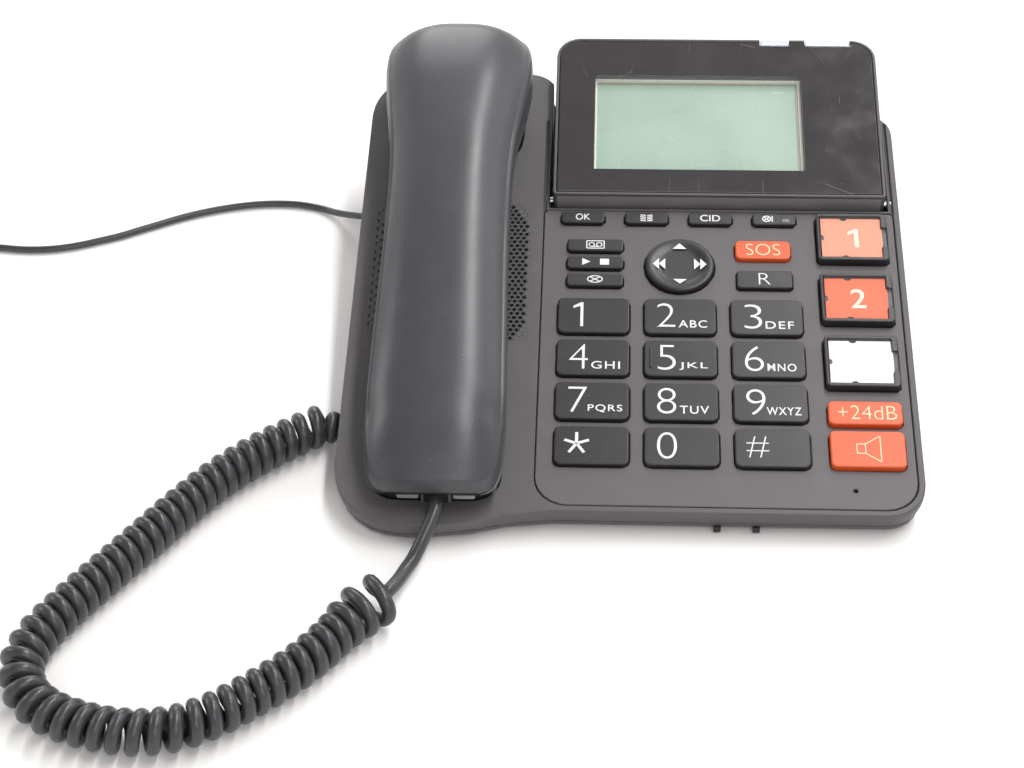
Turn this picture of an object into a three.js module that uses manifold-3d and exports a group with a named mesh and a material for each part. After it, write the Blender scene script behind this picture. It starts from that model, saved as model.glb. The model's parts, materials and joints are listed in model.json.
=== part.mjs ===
// Corded desk phone with large keys, a tilting display, photo keys and a curly handset cord.
// Millimetres, +Z up, the user sits at -Y. The panel frame lies on the sloping top: x across, y up the slope,
// z out of it, and its origin is on the middle key column, halfway between the second and third dial rows.
import * as THREE from 'three';
import { mergeVertices } from 'three/addons/utils/BufferGeometryUtils.js';
import Module from 'manifold-3d';

const wasm = await Module();
wasm.setup();

// Clearances
const gap = 0.3; // between pieces that rest on each other
const overrun = 2; // how far a cutter passes the face that it cuts
const weldDistance = 0.0005; // corners nearer than this are one corner

// Counts of straight pieces in a rounded corner or a round edge; an arc gets twice its count
const cornerSteps = 3;
const caseCornerSteps = 3;
const keyCornerSteps = 1;
const smallCornerSteps = 1 / 2;
const roundSides = 20;
const smallRoundSides = 12;
const holeSides = 6;

// Case, seen from above
const tiltDegrees = 10;
const caseLeft = 115;
const caseRight = 79.5;
const caseFront = 53;
const caseRear = 127;
const bayFront = 60.3;
const bayRear = 147;
const bayEdge = 45;
const frontCornerRadius = 13;
const rearCornerRadius = 10;
const bayFrontCornerRadius = 24;
const bayRearCornerRadius = 22;
const bayRearInnerRadius = 11;
const bayRearFilletRadius = 5;
const bayWaveStart = 84;
const bayWaveEnd = 42;
const bayWavePull = 20;

// Case, heights and walls
const frontHeight = 10.5;
const footHeight = 2;
const bottomPlate = 2;
const wall = 2.2;
const draftTop = 8.8;
const lowerDraft = 2.2;
const blankHeight = 90;
const slopeReach = 400;

// Key panel
const panelLeft = 48.4;
const panelRight = 77;
const panelFront = 51.4;
const panelRear = 78.6;
const panelThickness = 2.4;
const panelCornerRadius = 11;
const panelRearCornerRadius = 1.5;
const ledgeWidth = 1;
const ledgeThickness = 1.6;
const grooveWidth = 0.8;
const grooveDepth = 1;
const grooveRear = 124;
const micHoleX = 56.6;
const micHoleY = 44;
const micHoleRadius = 0.8;

// Keys
const keyClearance = 0.3;
const keyFlange = 0.6;
const keyFlangeThickness = 1.1;
const keyRise = 1.6;
const keyBevel = 0.7;
const keyTravel = 1.2;
const columnPitch = 30;
const rowPitch = 18.72;
const dialKeyWidth = 25;
const dialKeyDepth = 15.8;
const dialKeyRadius = 2.2;
const functionKeyPitch = 22.9;
const functionKeyShift = 0.15;
const functionKeyY = 74.1;
const functionKeyWidth = 15.6;
const functionKeyDepth = 5.2;
const functionKeyRadius = 1.2;
const messageKeyX = 29.8;
const messageKeyY = 52.6;
const messageKeyPitch = 8.15;
const messageKeyWidth = 20;
const messageKeyDepth = 5.6;
const sosKeyX = 29.7;
const sosKeyY = 59.3;
const sosKeyWidth = 19.6;
const sosKeyDepth = 8.6;
const flashKeyX = 29.9;
const flashKeyY = 45.5;
const flashKeyDepth = 8;
const sideKeyX = 61.4;
const sideKeyWidth = 24.8;
const sideKeyRise = 2;
const boostKeyY = 13.3;
const boostKeyDepth = 9.8;
const speakerKeyY = 28.3;
const speakerKeyDepth = 14.8;
const sideKeyRadius = 2;

// Navigation disc on its rocking pivot
const discX = 0.1;
const discY = 51.7;
const discRadius = 12.2;
const discClearance = 0.5;
const discRise = 2;
const discDish = 0.6;
const discDishRadius = 9;
const discEdge = 0.8;
const discDrop = 0.4;
const discThickness = 2;
const pivotRadius = 2.6;
const hubRadius = 4.2;
const hubDepth = 1.1;

// Photo keys
const photoKeyX = 61.6;
const photoKeyY = 36.7;
const photoKeyPitch = 28.3;
const photoKeyWidth = 25;
const photoKeyDepth = 22;
const photoKeyRadius = 0.9;
const photoKeyRise = 2.9;
const cardWidth = 21.8;
const cardDepth = 19.2;
const cardShift = 0.5;
const cardRecess = 1.3;
const coverThickness = 0.9;
const coverTabReach = 1.5;
const coverTabWidth = 8;

// Board, keypad mat and what carries them
const matThickness = 1;
const boardThickness = 1.6;
const boardLeft = 43;
const boardRight = 73;
const boardFront = 38;
const boardRear = 75;
const bossRadius = 3;
const bossInset = 6;

// Display pocket and display module, along the module from its hinge pin
const pocketFront = 79.9;
const pocketSide = 1.1;
const pocketDepth = 9;
const pocketFloor = 2;
const pocketWall = 1.4;
const pinY = 85.3;
const pinZ = 2.2;
const pinRadius = 1.3;
const pinSeat = 1.5;
const displayLeanDegrees = 4;
const displayX = 14.45;
const displayWidth = 120;
const displayHeight = 76.3;
const displayFoot = 3.3;
const displayFront = 8.2;
const displayBack = 4.6;
const displayWall = 1.8;
const displayTopRadius = 9;
const displayBottomRadius = 1.5;
const displayLeastRadius = 0.5;
const displayJoint = 4.1;
const lensThickness = 1.2;
const lensBorder = 1.1;
const windowX = 6.9;
const windowWidth = 77;
const windowBottom = 8.6;
const windowTopBorder = 18.4;
const lcdMargin = 3;
const lcdThickness = 3;
const guideSetback1 = 37.7;
const guideWidth1 = 10.5;
const guideSetback2 = 17.8;
const guideWidth2 = 16.5;
const guideDepth = 3;
const guideBarDepth = 6;
const guideBarThickness = 1.5;
const guideNeckWidth = 4;

// Handset bay: wells, grille, loudspeaker and hook plunger
const handsetX = 81.3;
const micWellWidth = 43.4;
const micWellFront = 50.4;
const micWellRear = 8.6;
const micWellDepth = 4.2;
const micWellRadius = 9;
const earWellWidth = 48;
const earWellFront = 96;
const earWellRear = 144;
const earWellDepth = 8.5;
const earWellRadius = 20;
const wellWall = 1.8;
const grilleWidth = 55;
const grilleFront = 16.5;
const grilleRear = 81.5;
const grilleRadius = 6;
const grilleRecess = 0.8;
const grilleHoleRadius = 2;
const grillePitch = 9.2;
const speakerRadius = 24;
const speakerNeckRadius = 14;
const speakerRim = 2.4;
const speakerDepth = 13;
const plungerWidth = 8;
const plungerDepth = 5;
const plungerY = 103.5;
const plungerStem = 8;
const plungerFlange = 1.2;
const plungerFlangeThickness = 1.4;

// Handset
const handsetFront = 54;
const handsetRear = 149.4;
const handsetHalfWidth = 27.2;
const handsetHeight = 36;
const handsetWall = 2;
const handsetSeamShare = 0.64;
const handsetWaistShare = 0.4;
const handsetSquareness = 3;
const seamGap = 0.3;
const micCapWidth = 39.6;
const micCapFront = 48.6;
const micCapRear = 10.6;
const micCapRadius = 7.5;
const earCapWidth = 43.6;
const earCapFront = 98.2;
const earCapRear = 141.8;
const earCapRadius = 18;
const capRise = 14;
const capFloor = 1.8;
const earHoleRadius = 1.2;
const earHoleRing = 6;
const earHoleCount = 6;
const earpieceRadius = 15;
const earpieceThickness = 6;
const earpieceY = 120;
const microphoneRadius = 5;
const microphoneThickness = 4;
const microphoneY = 22;

// Handset stations: along, half width, underside and crown, as shares of the handset's length, half width
// and height, from the front end to the rear end
const handsetStationShares = [
  [0, 0.4, 0.228, 0.4],
  [0.004, 0.59, 0.195, 0.436],
  [0.015, 0.73, 0.178, 0.48],
  [0.036, 0.808, 0.172, 0.534],
  [0.07, 0.845, 0.17, 0.592],
  [0.145, 0.855, 0.18, 0.686],
  [0.243, 0.84, 0.25, 0.785],
  [0.466, 0.802, 0.32, 0.934],
  [0.59, 0.8, 0.32, 0.98],
  [0.689, 0.832, 0.29, 1],
  [0.763, 0.9, 0.18, 1],
  [0.838, 0.97, 0.07, 0.985],
  [0.9, 1, 0.045, 0.945],
  [0.948, 0.975, 0.055, 0.89],
  [0.977, 0.885, 0.1, 0.83],
  [0.993, 0.72, 0.18, 0.75],
  [1, 0.46, 0.28, 0.62],
];
const handsetRingPoints = 18;

// Plugs: the small one on the handset cord and the larger one on the line cord
const smallPlug = { width: 7.6, height: 6, length: 11.5 };
const linePlug = { width: 9.6, height: 6.6, length: 11.8 };
const plugLatchWidth = 3.2;
const plugLatchThickness = 0.8;
const plugLatchRise = 1.1;
const jackWall = 1.6;
const baseJackY = 10.3;
const baseJackZ = 8.3;
const lineJackY = 104;
const lineJackZ = 9;
const plugSetback = 0.6;
const handsetJackZ = 3.6;
const handsetJackShift = 1.2;
const bootLength = 6.3;

// Battery tray in the bottom cover and its door
const trayX = 22;
const trayWidth = 52;
const trayFront = 73.5;
const trayRear = 118.5;
const trayHeight = 12;
const trayWall = 1.6;
const doorLip = 2.6;
const doorThickness = 1.4;

// Feet
const footRadius = 5;
const footInset = 13;

// Curly cord: wire, curls and the end without curls at the handset
const curlWire = 4.2;
const curlOuter = 14.6;
const curlStepsEach = 8;
const curlSides = 5;
const curlPitch = 5;
const curlLoosePitch = 11;
const curlLooseRun = 34;
const curlMarch = 0.25;
const curlBendWindow = 9;
const checkStepsEach = 32;

// Line cord: wire, turns of its coil and their layers
const lineWire = 2.6;
const lineSides = 6;
const lineSteps = 26;
const coilSides = 5;
const coilStepsEach = 20;
const coilOuterTurn = 21;
const coilLayers = 4;
const coilLayerTurns = 3.5;
const coilPitch = 3.45;
const coilLayerRise = 3.1;
const coilX = -289.7;
const coilY = 113.8;
const coilTailRun = 34;
const coilTailRise = 7;

// Routes of the cords on the table, measured from the panel's origin and from the table
const curlRoute = [
  [-128.7, -15.3, 7.7], [-141.2, -25.0, 7.7], [-153.3, -37.3, 7.7], [-164.4, -52.2, 7.7],
  [-174.9, -68.3, 7.7], [-185.2, -83.6, 7.7], [-194.9, -98.7, 7.7], [-201.1, -110.7, 7.7],
  [-202.8, -121.5, 7.7], [-199.4, -131.1, 7.7], [-192.2, -138.0, 7.7], [-182.3, -142.5, 7.7],
  [-171.9, -145.0, 7.7], [-161.6, -145.6, 7.7], [-151.2, -143.5, 7.7], [-141.7, -138.7, 7.7],
  [-132.7, -132.0, 7.7], [-124.2, -124.8, 7.7], [-116.3, -116.9, 7.7], [-109.3, -107.7, 7.7],
  [-103.0, -98.3, 7.7], [-97.7, -92.0, 7.7], [-93.2, -87.1, 7.6],
];
const leadRoute = [
  [-90.4, -81.7, 6.9], [-88.7, -77.1, 6.4], [-86.5, -72.6, 6.9], [-83.5, -66.5, 9.4], [-81.0, -60.7, 12.5],
];
const lineRoute = [
  [-121.0, 106.3, 7.6], [-125.2, 110.1, 5.2], [-130.2, 114.2, 2.9], [-137.4, 118.8, 1.6],
  [-145.6, 120.9, 1.6], [-153.4, 121.4, 1.6], [-161.2, 120.9, 1.6], [-168.9, 119.5, 1.6],
  [-176.4, 117.4, 1.6], [-183.9, 114.7, 1.6], [-191.2, 111.4, 1.6], [-198.4, 107.5, 1.6],
  [-205.6, 103.6, 1.6], [-212.7, 99.7, 1.6], [-219.8, 96.7, 1.6], [-227.1, 93.8, 1.6], [-234.3, 91.8, 1.6],
  [-241.8, 90.8, 1.6], [-249.6, 90.8, 1.6], [-258.4, 91.8, 1.6], [-269.8, 92.7, 1.6],
];

// Colours and finishes
const darkPlastic = { color: 0x39393b, roughness: 0.62, metalness: 0 };
const keyPlastic = { color: 0x434346, roughness: 0.45, metalness: 0 };
const discPlastic = { color: 0x3c3c3f, roughness: 0.4, metalness: 0 };
const orangePlastic = { color: 0xe8662f, roughness: 0.42, metalness: 0 };
const blackGloss = { color: 0x141415, roughness: 0.08, metalness: 0 };
const lcdGlass = { color: 0xaebfb2, roughness: 0.3, metalness: 0 };
const clearPlastic = { color: 0xe6ecee, roughness: 0.06, metalness: 0 };
const boardGreen = { color: 0x2f5f3c, roughness: 0.5, metalness: 0 };
const rubber = { color: 0x1d1d1e, roughness: 0.85, metalness: 0 };
const greyRubber = { color: 0x6d7071, roughness: 0.8, metalness: 0 };
const steel = { color: 0xb4b6b8, roughness: 0.3, metalness: 1 };
const cordPlastic = { color: 0x303033, roughness: 0.38, metalness: 0 };

// Worked out from the sizes above
const tilt = THREE.MathUtils.degToRad(tiltDegrees);
const displayLean = THREE.MathUtils.degToRad(displayLeanDegrees);
const panelHeight = frontHeight + caseFront * Math.tan(tilt);
const coverBottom = footHeight + bottomPlate + gap;
const draftSlope = lowerDraft / (draftTop - footHeight);
const recessDepth = panelThickness + gap;
const ledgeDepth = recessDepth + ledgeThickness;
const flangeTop = recessDepth;
const keyBottom = flangeTop + keyFlangeThickness;
const matTop = keyBottom + keyTravel + gap;
const boardTop = matTop + matThickness + gap;
const boardBottom = boardTop + boardThickness;
const doorTop = footHeight + doorThickness;
const handsetLength = handsetFront + handsetRear;
const displayTop = displayHeight - displayFoot;
const windowHeight = displayTop - windowBottom - windowTopBorder;
const guideX1 = displayWidth / 2 - guideSetback1;
const guideX2 = displayWidth / 2 - guideSetback2;
const lineRest = lineWire / 2 + gap;
const panelMatrix = new THREE.Matrix4().makeRotationX(tilt).setPosition(0, 0, panelHeight);

// A closed three.js geometry as a solid that can be cut and joined
function solidOf(geometry) {
  const bare = geometry.clone();
  bare.deleteAttribute('normal');
  bare.deleteAttribute('uv');
  const merged = mergeVertices(bare, weldDistance);
  const vertProperties = new Float32Array(merged.attributes.position.array);
  const triVerts = new Uint32Array(merged.index.array);
  return new wasm.Manifold(new wasm.Mesh({ numProp: 3, vertProperties, triVerts }));
}

// A solid back as a three.js geometry
function geometryOf(solid) {
  const mesh = solid.getMesh();
  const geometry = new THREE.BufferGeometry();
  geometry.setAttribute('position', new THREE.BufferAttribute(mesh.vertProperties, 3));
  geometry.setIndex(new THREE.BufferAttribute(mesh.triVerts, 1));
  geometry.computeVertexNormals();
  return geometry;
}

// Joins and cuts of several solids at once
function joined(solids) {
  return solids.reduce((whole, piece) => whole.add(piece));
}

function cutFrom(solid, cutters) {
  return cutters.reduce((left, cutter) => left.subtract(cutter), solid);
}

// A named sub-part with its own material
function piece(name, geometry, finish) {
  const mesh = new THREE.Mesh(geometry, new THREE.MeshStandardMaterial(finish));
  mesh.name = name;
  return mesh;
}

// A rectangle with rounded corners, between two corners, with one radius for the front pair and one for the rear
function roundedArea(left, front, right, rear, frontRadius, rearRadius = frontRadius) {
  const shape = new THREE.Shape();
  shape.absarc(right - frontRadius, front + frontRadius, frontRadius, -Math.PI / 2, 0);
  shape.absarc(right - rearRadius, rear - rearRadius, rearRadius, 0, Math.PI / 2);
  shape.absarc(left + rearRadius, rear - rearRadius, rearRadius, Math.PI / 2, Math.PI);
  shape.absarc(left + frontRadius, front + frontRadius, frontRadius, Math.PI, Math.PI * 1.5);
  shape.closePath();
  return shape;
}

function roundedRect(width, depth, radius, rearRadius = radius) {
  return roundedArea(-width / 2, -depth / 2, width / 2, depth / 2, radius, rearRadius);
}

// A flat shape given thickness, from one height to another
function slab(shape, low, high, steps = cornerSteps) {
  const geometry = new THREE.ExtrudeGeometry(shape, { depth: high - low, bevelEnabled: false, curveSegments: steps });
  return geometry.translate(0, 0, low);
}

// A box between two corners
function block(left, front, low, right, rear, high) {
  const geometry = new THREE.BoxGeometry(right - left, rear - front, high - low);
  return geometry.translate((left + right) / 2, (front + rear) / 2, (low + high) / 2);
}

// A closed skin over rings that all have the same number of points
function loft(rings) {
  const count = rings[0].length;
  const positions = rings.flat().flatMap((point) => [point.x, point.y, point.z]);
  const faces = [];
  for (let ring = 0; ring < rings.length - 1; ring++) {
    for (let side = 0; side < count; side++) {
      const here = ring * count + side;
      const next = ring * count + ((side + 1) % count);
      faces.push(here, next, next + count, here, next + count, here + count);
    }
  }
  const last = (rings.length - 1) * count;
  for (let side = 1; side < count - 1; side++) {
    faces.push(0, side + 1, side);
    faces.push(last, last + side, last + side + 1);
  }
  const geometry = new THREE.BufferGeometry();
  geometry.setAttribute('position', new THREE.Float32BufferAttribute(positions, 3));
  geometry.setIndex(faces);
  geometry.computeVertexNormals();
  return geometry;
}

// A stack of rounded rectangles, each level given as how far it is grown and its height
function stack(width, depth, radius, levels, steps = keyCornerSteps) {
  const rings = levels.map(([grown, height]) => {
    const outline = roundedRect(width + grown * 2, depth + grown * 2, radius + grown).getPoints(steps);
    return outline.slice(0, -1).map((point) => new THREE.Vector3(point.x, point.y, height));
  });
  return loft(rings);
}

// A turned piece along z from its half profile
function turned(profile, sides = roundSides) {
  const geometry = new THREE.LatheGeometry(profile.map(([r, z]) => new THREE.Vector2(r, z)), sides);
  return geometry.rotateX(Math.PI / 2);
}

function disc(radius, low, high, sides = roundSides) {
  return turned([[0, low], [radius, low], [radius, high], [0, high]], sides);
}

// Moves a geometry from the panel frame to the phone's upright frame
function onPanel(geometry) {
  return geometry.applyMatrix4(panelMatrix);
}

// The outline of the case from above, drawn in by the same amount all round
function caseOutline(inset = 0) {
  const left = -caseLeft + inset;
  const right = caseRight - inset;
  const front = -caseFront + inset;
  const rear = caseRear - inset;
  const frontOfBay = -bayFront + inset;
  const rearOfBay = bayRear - inset;
  const edge = -bayEdge - inset;
  const rightFront = frontCornerRadius - inset;
  const rightRear = rearCornerRadius - inset;
  const leftFront = bayFrontCornerRadius - inset;
  const leftRear = bayRearCornerRadius - inset;
  const innerRear = bayRearInnerRadius - inset;
  const fillet = bayRearFilletRadius + inset;
  const shape = new THREE.Shape();
  shape.absarc(right - rightFront, front + rightFront, rightFront, -Math.PI / 2, 0);
  shape.absarc(right - rightRear, rear - rightRear, rightRear, 0, Math.PI / 2);
  shape.absarc(edge + fillet, rear + fillet, fillet, Math.PI * 1.5, Math.PI, true);
  shape.absarc(edge - innerRear, rearOfBay - innerRear, innerRear, 0, Math.PI / 2);
  shape.absarc(left + leftRear, rearOfBay - leftRear, leftRear, Math.PI / 2, Math.PI);
  shape.absarc(left + leftFront, frontOfBay + leftFront, leftFront, Math.PI, Math.PI * 1.5);
  shape.lineTo(-bayWaveStart, frontOfBay);
  shape.bezierCurveTo(
    -bayWaveStart + bayWavePull, frontOfBay, -bayWaveEnd - bayWavePull, front, -bayWaveEnd, front,
  );
  shape.closePath();
  return shape;
}

// The case as a solid from a height upwards: its sides lean in below the top of the draft
function caseBody(inset, low) {
  const rise = draftTop - low;
  const drawnIn = rise * draftSlope;
  const geometry = new THREE.ExtrudeGeometry(caseOutline(inset), {
    depth: blankHeight - draftTop, bevelEnabled: true, bevelThickness: rise, bevelSize: drawnIn,
    bevelOffset: -drawnIn, bevelSegments: 1, curveSegments: caseCornerSteps,
  });
  return solidOf(geometry.translate(0, 0, draftTop));
}

// Everything above a plane that lies parallel to the panel, over an area of it
function aboveSlope(depth, left = -slopeReach, right = slopeReach, front = -slopeReach, rear = slopeReach) {
  return solidOf(onPanel(block(left, front, -depth, right, rear, blankHeight)));
}

const micWellArea = (grown) => roundedArea(
  -handsetX - micWellWidth / 2 - grown, -micWellFront - grown,
  -handsetX + micWellWidth / 2 + grown, -micWellRear + grown, micWellRadius + grown,
);

const earWellArea = (grown) => roundedArea(
  -handsetX - earWellWidth / 2 - grown, earWellFront - grown,
  -handsetX + earWellWidth / 2 + grown, earWellRear + grown, earWellRadius + grown,
);

const pocketLeft = displayX - displayWidth / 2 - pocketSide;
const pocketRight = displayX + displayWidth / 2 + pocketSide;

// A socket in the left side of the case, from the wall inwards
function sideJack(plug, y, z, grown, reach) {
  const half = plug.width / 2 + grown;
  const tall = plug.height / 2 + grown;
  return block(-caseLeft - overrun, y - half, z - tall, -caseLeft + reach, y + half, z + tall);
}

// Keys: where each one is, its size and its corner
function keyPlaces() {
  const keys = [];
  const dialNames = ['1', '2', '3', '4', '5', '6', '7', '8', '9', 'star', '0', 'hash'];
  dialNames.forEach((name, index) => {
    const column = (index % 3) - 1;
    const row = 1.5 - Math.floor(index / 3);
    keys.push({
      name: `dial_key_${name}`, x: column * columnPitch, y: row * rowPitch,
      width: dialKeyWidth, depth: dialKeyDepth, radius: dialKeyRadius, rise: keyRise, finish: keyPlastic,
    });
  });
  const functionNames = ['ok', 'phonebook', 'caller_id', 'erase'];
  functionNames.forEach((name, index) => keys.push({
    name: `function_key_${name}`, x: (index - 1.5) * functionKeyPitch - functionKeyShift, y: functionKeyY,
    width: functionKeyWidth, depth: functionKeyDepth, radius: functionKeyRadius, rise: keyRise, finish: keyPlastic,
    steps: smallCornerSteps,
  }));
  const messageNames = ['tape', 'play', 'off'];
  messageNames.forEach((name, index) => keys.push({
    name: `message_key_${name}`, x: -messageKeyX, y: messageKeyY + (1 - index) * messageKeyPitch,
    width: messageKeyWidth, depth: messageKeyDepth, radius: functionKeyRadius, rise: keyRise, finish: keyPlastic,
    steps: smallCornerSteps,
  }));
  keys.push({
    name: 'sos_key', x: sosKeyX, y: sosKeyY, width: sosKeyWidth, depth: sosKeyDepth,
    radius: sideKeyRadius, rise: keyRise, finish: orangePlastic,
  });
  keys.push({
    name: 'flash_key', x: flashKeyX, y: flashKeyY, width: sosKeyWidth, depth: flashKeyDepth,
    radius: functionKeyRadius, rise: keyRise, finish: keyPlastic,
  });
  keys.push({
    name: 'boost_key', x: sideKeyX, y: -boostKeyY, width: sideKeyWidth, depth: boostKeyDepth,
    radius: sideKeyRadius, rise: sideKeyRise, finish: orangePlastic,
  });
  keys.push({
    name: 'speaker_key', x: sideKeyX, y: -speakerKeyY, width: sideKeyWidth, depth: speakerKeyDepth,
    radius: sideKeyRadius, rise: sideKeyRise, finish: orangePlastic,
  });
  return keys;
}

const photoPlaces = [1, 0, -1].map((step, index) => ({
  number: index + 1, x: photoKeyX, y: photoKeyY + step * photoKeyPitch,
}));

// A plain key with a flange under the panel
function keyMesh(key) {
  const levels = [
    [keyFlange, -keyBottom], [keyFlange, -flangeTop], [0, -flangeTop], [0, key.rise - keyBevel],
    [-keyBevel, key.rise],
  ];
  const mesh = piece(key.name, stack(key.width, key.depth, key.radius, levels, key.steps), key.finish);
  mesh.position.set(key.x, key.y, 0);
  return mesh;
}

// Key panel with a hole for every key
function keyPanel() {
  const plate = solidOf(slab(
    roundedArea(-panelLeft, -panelFront, panelRight, panelRear, panelCornerRadius, panelRearCornerRadius),
    -panelThickness, 0,
  ));
  const through = (shape, x, y, steps) => solidOf(
    slab(shape, -panelThickness - overrun, overrun, steps).translate(x, y, 0),
  );
  const holes = keyPlaces().map((key) => through(
    roundedRect(key.width + keyClearance * 2, key.depth + keyClearance * 2, key.radius + keyClearance),
    key.x, key.y, key.steps ?? keyCornerSteps,
  ));
  photoPlaces.forEach((place) => holes.push(through(
    roundedRect(photoKeyWidth + keyClearance * 2, photoKeyDepth + keyClearance * 2, photoKeyRadius + keyClearance),
    place.x, place.y, smallCornerSteps,
  )));
  const discHole = disc(discRadius + discClearance, -panelThickness - overrun, overrun, roundSides);
  holes.push(solidOf(discHole.translate(discX, discY, 0)));
  const micHole = disc(micHoleRadius, -panelThickness - overrun, overrun, smallRoundSides);
  holes.push(solidOf(micHole.translate(micHoleX, -micHoleY, 0)));
  return piece('key_panel', geometryOf(cutFrom(plate, holes)), darkPlastic);
}

// Photo key: a black tray with a recess for its card, and the clear cover that lies in it
function photoKey(place) {
  const levels = [
    [keyFlange, -keyBottom], [keyFlange, -flangeTop], [0, -flangeTop], [0, photoKeyRise],
  ];
  const tray = solidOf(stack(photoKeyWidth, photoKeyDepth, photoKeyRadius, levels, smallCornerSteps));
  const floor = photoKeyRise - cardRecess;
  const recess = solidOf(block(
    -cardWidth / 2 - cardShift, -cardDepth / 2, floor, cardWidth / 2 - cardShift, cardDepth / 2, photoKeyRise + overrun,
  ));
  const tabNotch = solidOf(block(
    0, -coverTabWidth / 2 - gap, floor, photoKeyWidth, coverTabWidth / 2 + gap, photoKeyRise + overrun,
  ));
  const mesh = piece(`photo_key_${place.number}`, geometryOf(cutFrom(tray, [recess, tabNotch])), keyPlastic);
  mesh.position.set(place.x, place.y, 0);
  return mesh;
}

function photoCover(place) {
  const floor = photoKeyRise - coverThickness;
  const half = cardWidth / 2 - gap;
  const window = solidOf(block(
    -half - cardShift, -cardDepth / 2 + gap, floor, half - cardShift, cardDepth / 2 - gap, photoKeyRise,
  ));
  const tab = solidOf(block(
    0, -coverTabWidth / 2, floor, half - cardShift + gap + coverTabReach, coverTabWidth / 2, photoKeyRise,
  ));
  const mesh = piece(`photo_cover_${place.number}`, geometryOf(window.add(tab)), clearPlastic);
  mesh.position.set(place.x, place.y, 0);
  return mesh;
}

// Navigation disc, and the pivot post that it rocks on
function navDisc() {
  const under = discRise - discThickness - discDrop;
  const socket = hubRadius - discEdge;
  const profile = [
    [0, under], [socket, under], [socket, under - hubDepth], [hubRadius, under - hubDepth], [hubRadius, under],
    [discRadius, under], [discRadius, discRise - discEdge], [discRadius - discEdge, discRise],
    [discDishRadius, discRise], [discDishRadius / 2, discRise - discDish], [0, discRise - discDish],
  ];
  const mesh = piece('nav_disc', turned(profile, roundSides), discPlastic);
  mesh.position.set(discX, discY, 0);
  return mesh;
}

function navPivot() {
  const top = discRise - discThickness - discDrop - gap;
  const profile = [
    [0, -matTop + gap], [pivotRadius, -matTop + gap], [pivotRadius, top - discEdge], [pivotRadius - discEdge, top],
    [0, top],
  ];
  const mesh = piece('nav_pivot', turned(profile, smallRoundSides), greyRubber);
  mesh.position.set(discX, discY, 0);
  return mesh;
}

// Keypad mat and main board, both parallel to the panel
function keypadMat() {
  const shape = roundedArea(-boardLeft, -boardFront, boardRight, boardRear + gap, sideKeyRadius);
  return piece('keypad_mat', slab(shape, -matTop - matThickness, -matTop, 1), greyRubber);
}

function mainBoard() {
  const shape = roundedArea(-boardLeft, -boardFront, boardRight, boardRear, sideKeyRadius);
  return piece('main_board', slab(shape, -boardBottom, -boardTop, 1), boardGreen);
}

// Grille: a shallow recess with rows of holes, every second row shifted by half a pitch
function grilleCutters() {
  const middle = (grilleFront + grilleRear) / 2;
  const depth = grilleRear - grilleFront;
  const shape = roundedRect(grilleWidth, depth, grilleRadius);
  const cutters = [solidOf(onPanel(slab(shape, -grilleRecess, overrun).translate(-handsetX, middle, 0)))];
  const rowStep = grillePitch * Math.sin(Math.PI / 3);
  const rows = Math.floor((depth - grilleRadius) / rowStep);
  for (let row = 0; row < rows; row++) {
    const shifted = row % 2;
    const columns = Math.floor((grilleWidth - grilleRadius) / grillePitch) - shifted;
    for (let column = 0; column < columns; column++) {
      const hole = disc(grilleHoleRadius, -wall - overrun, overrun, holeSides);
      const x = (column - (columns - 1) / 2) * grillePitch;
      const y = (row - (rows - 1) / 2) * rowStep;
      cutters.push(solidOf(onPanel(hole.translate(-handsetX + x, middle + y, 0))));
    }
  }
  return cutters;
}

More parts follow.
